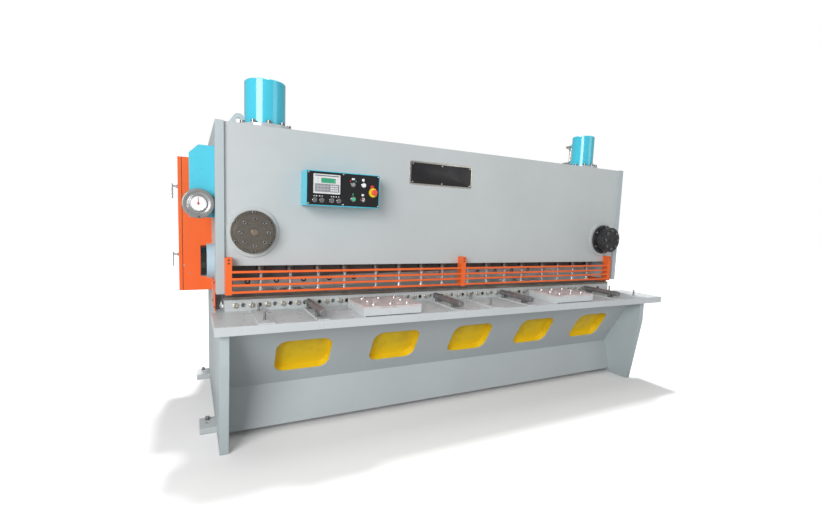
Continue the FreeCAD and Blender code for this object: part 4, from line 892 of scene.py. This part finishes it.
tag("selector_tag", -1.027, 1.7545, 0.022, 0.013, 0.002, tag_white, "white_plastic")
tag("lamp_tag", -0.9535, 1.7530, 0.021, 0.021, 0.0103, tag_white, "white_plastic")
tag("start_mark", -1.027, 1.6500, 0.009, 0.013, 0.002, mark_green, "green_plastic")
tag("key_tag", -0.9545, 1.6490, 0.020, 0.015, 0.005, tag_white, "white_plastic")
tag("selector_mark_off", -1.0470, 1.7410, 0.010, 0.010, 0.0049, mark_red, "red_plastic")
tag("selector_mark_on", -1.0070, 1.7410, 0.010, 0.010, 0.0049, mark_green, "green_plastic")
tag("stop_mark", -0.8850, 1.7090, 0.027, 0.024, 0.0115, mark_red, "red_plastic")


def arrow_marks(name, marks, finish, slot):
    """Flat printed triangles; each mark is x, z, half width (its sign gives the direction)."""
    bm = bmesh.new()
    for x, z, reach in marks:
        low = [bm.verts.new((x + dx, panel_y - 0.0001, z + dz)) for dx, dz in
               ((-reach, -abs(reach) * 0.8), (-reach, abs(reach) * 0.8), (reach, 0.0))]
        high = [bm.verts.new(v.co + Vector((0, -0.0005, 0))) for v in low]
        bm.faces.new(low)
        bm.faces.new(high)
        for i in range(3):
            j = (i + 1) % 3
            bm.faces.new((low[i], low[j], high[j], high[i]))
    bmesh.ops.recalc_face_normals(bm, faces=bm.faces)
    mesh = bpy.data.meshes.new(name)
    bm.to_mesh(mesh)
    bm.free()
    hung(name, mesh, finish, slot=slot)


arrow_marks("jog_arrows", [(-1.301, 1.6265, -0.005), (-1.282, 1.6260, 0.006),
                           (-1.264, 1.6265, -0.006), (-1.243, 1.6265, 0.005),
                           (-1.182, 1.6265, -0.005), (-1.163, 1.6260, 0.006),
                           (-1.150, 1.6265, -0.006), (-1.128, 1.6265, 0.005)],
            tag_white, "white_plastic")
lens_profile = [(0.0, 0.0), (0.0028, 0.0), (0.0028, 0.0006), (0.0018, 0.0014), (0.0, 0.0017)]
for name, places, finish, slot in (
        ("unit_lamps_left", [(-1.2795, 1.7385), (-1.2795, 1.7215)], mark_green, "green_plastic"),
        ("unit_lamps_right", [(-1.1420, 1.7385), (-1.1420, 1.7215)], mark_red, "red_plastic")):
    turned(name, lens_profile, [(x, unit_front, z) for x, z in places], finish, slot=slot, steps=12)
panel_screw_places = [(-1.091 + dx, panel_y - 0.0058, 1.678 + dz)
                      for dx in (-0.2485, -0.010, 0.2485) for dz in (-0.103, 0.103)]
made_by(head_tree, "panel_screw_crowns", panel_screw_places, [], bright, slot="polished_steel",
        Radius=0.0062, Height=0.002, Socket=0.0026, Facing=TO_FRONT, Seed=31)

# ------------------------------------------------------------------ blade gap adjuster
# A folded housing sprayed cyan, and a machined grey handwheel with a gap dial in its middle: one
# turn of the wheel moves the bed's blade seat, and the hanging pointer reads it off.
dress(enamel("housing_cyan", (0.085, 0.56, 0.72), roughness=0.3, edge=0.5), "gap_housing")
wheel_x, wheel_z = -1.992, 1.543
wheel_grey = lathe_finish("wheel_grey", (0.36, 0.36, 0.355), (0.24, 0.24, 0.235),
                          (wheel_x, 0, wheel_z), metallic=0.5, pitch=500.0)
dress(wheel_grey, "gap_handwheel")
dial_white = moulded("dial_white", (0.90, 0.90, 0.90), roughness=0.35)
dress(dial_white, "gap_dial")
wheel_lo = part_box("gap_handwheel")[0]
dial_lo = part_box("gap_dial")[0]
dial_front = dial_lo.y
well = lathe_finish("wheel_well_steel", (0.72, 0.72, 0.72), (0.42, 0.42, 0.42),
                    (wheel_x, 0, wheel_z), metallic=0.9)
well_ring = [(0.0515, -0.0005), (0.0737, -0.0005), (0.0737, 0.0150), (0.0725, 0.0150),
             (0.0590, 0.0040), (0.0515, 0.0030)]
turned("wheel_well", well_ring, [(wheel_x, wheel_lo.y + 0.0178, wheel_z)], well,
       body="handwheel", slot="wheel_grey", steps=56)
bezel = [(0.0455, -0.0020), (0.0510, -0.0020), (0.0510, 0.0020), (0.0496, 0.0030),
         (0.0466, 0.0030), (0.0455, 0.0020)]
turned("dial_bezel", bezel, [(wheel_x, dial_front, wheel_z)], bright, body="handwheel",
       slot="polished_steel", steps=56)

# graduations: bars set round a circle, every fifth one longer
mark_tree, taken = recipe("dial_graduations", {"Count": "Int", "Radius": "Float",
                          "Length": "Float", "Width": "Float"})
round_line = join(mark_tree, "GeometryNodeMeshCircle", {"Vertices": taken["Count"],
                  "Radius": taken["Radius"]})
index = join(mark_tree, "GeometryNodeInputIndex")
fifth = join(mark_tree, "ShaderNodeMath", {0: index, 1: 5.0}, operation="MODULO")
is_fifth = join(mark_tree, "FunctionNodeCompare", {0: fifth, 1: 0.5}, operation="LESS_THAN")
longer = join(mark_tree, "GeometryNodeSwitch", {"Switch": is_fifth, "False": 1.0, "True": 1.7},
              input_type="FLOAT")
stretch = join(mark_tree, "ShaderNodeCombineXYZ", {"X": longer, "Y": longer, "Z": 1.0})
bar_size = join(mark_tree, "ShaderNodeCombineXYZ", {"X": taken["Length"], "Y": taken["Width"],
                "Z": 0.0004})
bar = join(mark_tree, "GeometryNodeMeshCube", {"Size": bar_size})
place_out = join(mark_tree, "GeometryNodeInputPosition")
points_out = join(mark_tree, "FunctionNodeAlignEulerToVector", {"Vector": place_out}, axis="X",
                  pivot_axis="Z")
dial_bars = join(mark_tree, "GeometryNodeInstanceOnPoints", {"Points": round_line,
                 "Instance": bar, "Rotation": points_out, "Scale": stretch})
stood = join(mark_tree, "GeometryNodeTransform", {"Geometry": dial_bars,
             "Rotation": (math.pi / 2, 0, 0)})
at_centre = join(mark_tree, "GeometryNodeInstanceOnPoints", {"Points": taken["Path"],
                 "Instance": stood})
sealed(mark_tree, at_centre, taken["Finish"])
made_by(mark_tree, "dial_graduations", [(wheel_x, dial_front - 0.0001, wheel_z)], [],
        moulded("dial_ink", (0.03, 0.03, 0.035)), "handwheel", "black_lacquer",
        Count=50, Radius=0.0425, Length=0.0028, Width=0.0005)
dress(moulded("pointer_red", (0.62, 0.04, 0.03)), "dial_pointer")
made_by(head_tree, "wheel_rim_screw", [(wheel_x + 0.004, wheel_lo.y - 0.0004, wheel_z - 0.0845)],
        [], black_steel, "handwheel", "black_oxide", Radius=0.0058, Height=0.0016, Socket=0.0028,
        Facing=TO_FRONT, Seed=41)
case_lo, case_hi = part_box("gap_housing")
case_screws = [(case_hi.x - 0.009, case_lo.y - 0.0010, z) for z in (1.467, 1.490, 1.590)]
made_by(head_tree, "housing_screws", case_screws, [], black_steel, slot="black_oxide",
        Radius=0.0050, Height=0.0030, Socket=0.0025, Facing=TO_FRONT, Seed=43)

# ------------------------------------------------------------------ electrical cabinet
# A folded steel cabinet on the left side plate, powder coated orange, with a lift-off door on
# two hinges, a rubber seal, and two bright bar latches.
cabinet_orange = enamel("cabinet_orange", (0.90, 0.135, 0.020), roughness=0.38, drift=1.5,
                        edge=0.45, peel=0.2)
dress(cabinet_orange, "cabinet", "cabinet_door")
dress(bright, "latch_upper", "latch_lower")
cab_lo, cab_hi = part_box("cabinet")
door_lo, door_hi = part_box("cabinet_door")
made_by(head_tree, "cabinet_front_screws",
        [(x, cab_lo.y - 0.0008, z) for x, z in ((-2.0815, 1.092), (-2.045, 1.034))], [], zinc,
        slot="zinc_plate", Radius=0.0048, Height=0.0026, Socket=0.0022, Facing=TO_FRONT, Seed=51)
rubber = enamel("door_seal_rubber", (0.018, 0.018, 0.018), roughness=0.75, drift=20.0, edge=0.1)
seal_x = door_hi.x
seal_rings = []
for x, inset in ((seal_x - 0.0055, 0.006), (seal_x - 0.0008, 0.006), (seal_x - 0.0008, 0.014),
                 (seal_x - 0.0055, 0.014)):
    y0, y1 = cab_lo.y + 0.004 + inset, cab_lo.y + 0.592 - inset
    z0, z1 = cab_lo.z + 0.004 + inset, cab_hi.z - 0.004 - inset
    seal_rings.append([(x, y, z) for y, z in round_corners(y0, y1, z0, z1, 0.02)])
ringed("cabinet_door_seal", seal_rings, rubber, "door", "black_lacquer", ends=False, close=True)
slab("cabinet_seam", door_hi.x - 0.0010, door_hi.x + 0.0022, cab_lo.z + 0.002, cab_hi.z - 0.002,
     cab_lo.y + 0.0005, cab_lo.y - 0.0007, 0.001, rubber, bevel=0.0003, slot="black_lacquer")
louvre_tree, taken = recipe("louvres", {"Count": "Int", "Pitch": "Float", "Length": "Float",
                            "Throw": "Float"})
going_up = join(louvre_tree, "ShaderNodeCombineXYZ", {"Z": taken["Pitch"]})
rank = join(louvre_tree, "GeometryNodeMeshLine", {"Count": taken["Count"], "Offset": going_up})
barrel = join(louvre_tree, "GeometryNodeMeshCylinder", {"Vertices": 12, "Radius": taken["Throw"],
              "Depth": taken["Length"]}, fill_type="NGON")
flat_barrel = join(louvre_tree, "GeometryNodeTransform", {"Geometry": barrel,
                   "Rotation": (math.pi / 2, 0, 0), "Scale": (0.55, 1.0, 1.0)})
slats = join(louvre_tree, "GeometryNodeInstanceOnPoints", {"Points": rank,
             "Instance": flat_barrel})
banks = join(louvre_tree, "GeometryNodeInstanceOnPoints", {"Points": taken["Path"],
             "Instance": slats})
sealed(louvre_tree, banks, taken["Finish"], smooth=True)
made_by(louvre_tree, "door_louvres", [(door_lo.x + 0.0008, 0.180, z) for z in (0.98, 1.72)],
        [], cabinet_orange, "door", "orange_paint", Count=7, Pitch=0.014, Length=0.18,
        Throw=0.0052)

# ------------------------------------------------------------------ floor lugs
# Blocks welded to the foot of each leg, with an anchor hole and a levelling bolt.
dress(body_grey, "feet")
level_places = [(x, y, 0.0610) for x in (-1.947, 1.947) for y in (-0.502, 0.598)]
made_by(head_tree, "levelling_bolt_crowns", level_places, [], bolt_steel, slot="black_oxide",
        Radius=0.0138, Height=0.003, Socket=0.007, Facing=(0, 0, 0), Seed=61)

# ------------------------------------------------------------------ back gauge
# A bar on two carriages, moved by two lead screws from one geared motor between them. The bar is
# ground on its front, the screws are bright and have a trapezoidal thread.
gauge_grey = enamel("gauge_grey", (0.40, 0.43, 0.44), roughness=0.45)
dress(gauge_grey, "back_gauge")
screw_steel = metal("lead_screw_steel", (0.62, 0.61, 0.60), (0.34, 0.33, 0.32), (0.18, 0.34),
                    (300, 40, 300), blotch_scale=30.0)
dress(screw_steel, "gauge_screw_left", "gauge_screw_right")
motor_grey = enamel("motor_grey", (0.20, 0.24, 0.27), roughness=0.45, drift=6.0)
dress(motor_grey, "gauge_drive", "pump_motor")
thread_tree, taken = recipe("screw_thread", {"Turns": "Float", "Radius": "Float",
                            "Length": "Float", "Crest": "Float"})
helix = join(thread_tree, "GeometryNodeCurveSpiral", {"Resolution": 20,
             "Rotations": taken["Turns"], "Start Radius": taken["Radius"],
             "End Radius": taken["Radius"], "Height": taken["Length"]})
crest = join(thread_tree, "GeometryNodeCurvePrimitiveCircle", {"Resolution": 4,
             "Radius": taken["Crest"]})
thread = join(thread_tree, "GeometryNodeCurveToMesh", {"Curve": helix, "Profile Curve": crest,
              "Fill Caps": True})
laid = join(thread_tree, "GeometryNodeTransform", {"Geometry": thread,
            "Rotation": (-math.pi / 2, 0, 0)})
screws_cut = join(thread_tree, "GeometryNodeInstanceOnPoints", {"Points": taken["Path"],
                  "Instance": laid})
sealed(thread_tree, screws_cut, taken["Finish"])
for side in ("left", "right"):
    low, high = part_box("gauge_screw_" + side)
    axis_x = (low.x + high.x) / 2
    axis_z = 0.889
    made_by(thread_tree, "screw_thread_" + side, [(axis_x, -0.360, axis_z)], [], screw_steel,
            "screw_" + side, "polished_steel", Turns=38.0, Radius=0.0158, Length=0.76,
            Crest=0.0011)

# ------------------------------------------------------------------ oil tank, pump and pipes
# A welded tank on the upper tie, sprayed grey, with a finned motor, a filler, a sight glass and
# a valve block. Rigid zinc-plated pipes run from the block to the ports of both cylinders.
tank_grey = enamel("tank_grey", (0.50, 0.535, 0.54), roughness=0.42)
dress(tank_grey, "oil_tank")
tank_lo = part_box("oil_tank")[0]
motor_y, motor_z = 0.470, 2.068
fin_tree, taken = recipe("motor_fins", {"Count": "Int", "Radius": "Float", "Length": "Float",
                         "Rise": "Float", "Thickness": "Float"})
fin_ring = join(fin_tree, "GeometryNodeMeshCircle", {"Vertices": taken["Count"],
                "Radius": taken["Radius"]})
fin_size = join(fin_tree, "ShaderNodeCombineXYZ", {"X": taken["Rise"], "Y": taken["Thickness"],
                "Z": taken["Length"]})
fin = join(fin_tree, "GeometryNodeMeshCube", {"Size": fin_size})
ray = join(fin_tree, "GeometryNodeInputPosition")
fin_turn = join(fin_tree, "FunctionNodeAlignEulerToVector", {"Vector": ray}, axis="X",
                pivot_axis="Z")
fins = join(fin_tree, "GeometryNodeInstanceOnPoints", {"Points": fin_ring, "Instance": fin,
            "Rotation": fin_turn})
lying = join(fin_tree, "GeometryNodeTransform", {"Geometry": fins,
             "Rotation": (0, math.pi / 2, 0)})
fin_set = join(fin_tree, "GeometryNodeInstanceOnPoints", {"Points": taken["Path"],
               "Instance": lying})
sealed(fin_tree, fin_set, taken["Finish"])
made_by(fin_tree, "motor_fins", [(-0.150, motor_y, motor_z)], [], motor_grey,
        slot="motor_grey", Count=44, Radius=0.1105, Length=0.22, Rise=0.011, Thickness=0.0022)
turned("motor_cowl", [(0.0, 0.0), (0.1155, 0.0), (0.1185, 0.004), (0.1185, 0.066), (0.1090, 0.082),
                      (0.0, 0.082)], [(-0.250, motor_y, motor_z)], motor_grey, axis=(-1, 0, 0),
       slot="motor_grey", steps=40)
turned("tank_filler_cap", [(0.0, 0.0), (0.049, 0.0), (0.049, 0.016), (0.046, 0.021), (0.0, 0.021)],
       [(-0.480, motor_y, 2.008)], black_anodised, axis=(0, 0, 1), slot="black_lacquer", steps=36)
turned("tank_sight_glass", [(0.0, 0.0), (0.022, 0.0), (0.022, 0.006), (0.019, 0.009),
                            (0.0, 0.009)], [(-0.42, tank_lo.y + 0.0118, z) for z in (1.64, 1.82)],
       bright, slot="polished_steel", steps=28)
slab("tank_sight_tube", -0.4275, -0.4125, 1.64, 1.82, tank_lo.y + 0.0115, tank_lo.y + 0.0035, 0.006,
     moulded("sight_tube", (0.42, 0.34, 0.12), roughness=0.1, coat=0.8), slot="green_plastic")

pipe_tree, taken = recipe("bent_pipe", {"Radius": "Float", "Bend": "Float"})
run = join(pipe_tree, "GeometryNodeMeshToCurve", {0: taken["Path"]})
bends = join(pipe_tree, "GeometryNodeFilletCurve", {"Curve": run, "Radius": taken["Bend"],
             "Count": 8, "Limit Radius": True}, mode="POLY")
wall_line = join(pipe_tree, "GeometryNodeCurvePrimitiveCircle", {"Resolution": 14,
                 "Radius": taken["Radius"]})
pipe = join(pipe_tree, "GeometryNodeCurveToMesh", {"Curve": bends, "Profile Curve": wall_line,
            "Fill Caps": True})
sealed(pipe_tree, pipe, taken["Finish"], smooth=True)
left_x, right_x = -1.560, 1.560
left_back, right_back = -0.287, -0.319            # mouths of the ports, left and right
top_port, low_port = 2.327, 2.159
hidden_x = right_x + 0.075                        # the right pipes climb behind their barrel
runs = {
    "pipe_left_top": [(0.285, 0.380, 2.02), (0.285, 0.300, 2.02), (0.285, 0.300, 2.145),
                      (left_x, 0.300, 2.145), (left_x, -0.200, 2.145), (left_x, -0.200, top_port),
                      (left_x, left_back, top_port)],
    "pipe_left_low": [(0.335, 0.380, 2.02), (0.335, 0.250, 2.02), (0.335, 0.250, 2.110),
                      (left_x, 0.250, 2.110), (left_x, -0.15, 2.110), (left_x, -0.20, low_port),
                      (left_x, left_back, low_port)],
    "pipe_right_top": [(0.385, 0.380, 2.02), (0.385, 0.300, 2.02), (0.385, 0.300, 2.145),
                       (hidden_x, 0.300, 2.145), (hidden_x, -0.225, 2.145),
                       (hidden_x, -0.225, top_port), (right_x, -0.225, top_port),
                       (right_x, right_back, top_port)],
    "pipe_right_low": [(0.425, 0.380, 2.02), (0.425, 0.250, 2.02), (0.425, 0.250, 2.110),
                       (right_x - 0.02, 0.250, 2.110), (right_x, -0.15, 2.110),
                       (right_x, -0.20, low_port), (right_x, right_back, low_port)]}
pipe_zinc = metal("pipe_zinc", (0.74, 0.71, 0.62), (0.48, 0.46, 0.40), (0.24, 0.4), (60, 60, 60),
                  blotch_scale=12.0, depth=0.05)
nut_places = {"front": [], "back": []}
for name, points in runs.items():
    made_by(pipe_tree, name, points, [(i, i + 1) for i in range(len(points) - 1)], pipe_zinc,
            slot="zinc_plate", Radius=0.011, Bend=0.035)
    nut_places["front"].append(points[0])
    nut_places["back"].append(points[-1])
union = [(0.0105, 0.0), (0.0175, 0.0), (0.0190, 0.003), (0.0190, 0.024), (0.0165, 0.028),
         (0.0105, 0.028)]
turned("pipe_unions_block", union, nut_places["front"], pipe_zinc, slot="zinc_plate", steps=6)
turned("pipe_unions_port", union, nut_places["back"], pipe_zinc, axis=(0, 1, 0),
       slot="zinc_plate", steps=6)

# pipe clamps on flat steel posts that stand on the upper tie
clamp_x = (-1.2, -0.8, 0.8, 1.2)
for number, x in enumerate(clamp_x, 1):
    slab("pipe_clamp_%d" % number, x - 0.012, x + 0.012, 2.092, 2.165, 0.408, 0.232, 0.003,
         black_anodised, bevel=0.002, slot="black_lacquer")
    slab("pipe_post_%d" % number, x - 0.020, x + 0.020, 1.5605, 2.160, 0.414, 0.4078, 0.003,
         black_anodised, bevel=0.001, slot="black_lacquer")
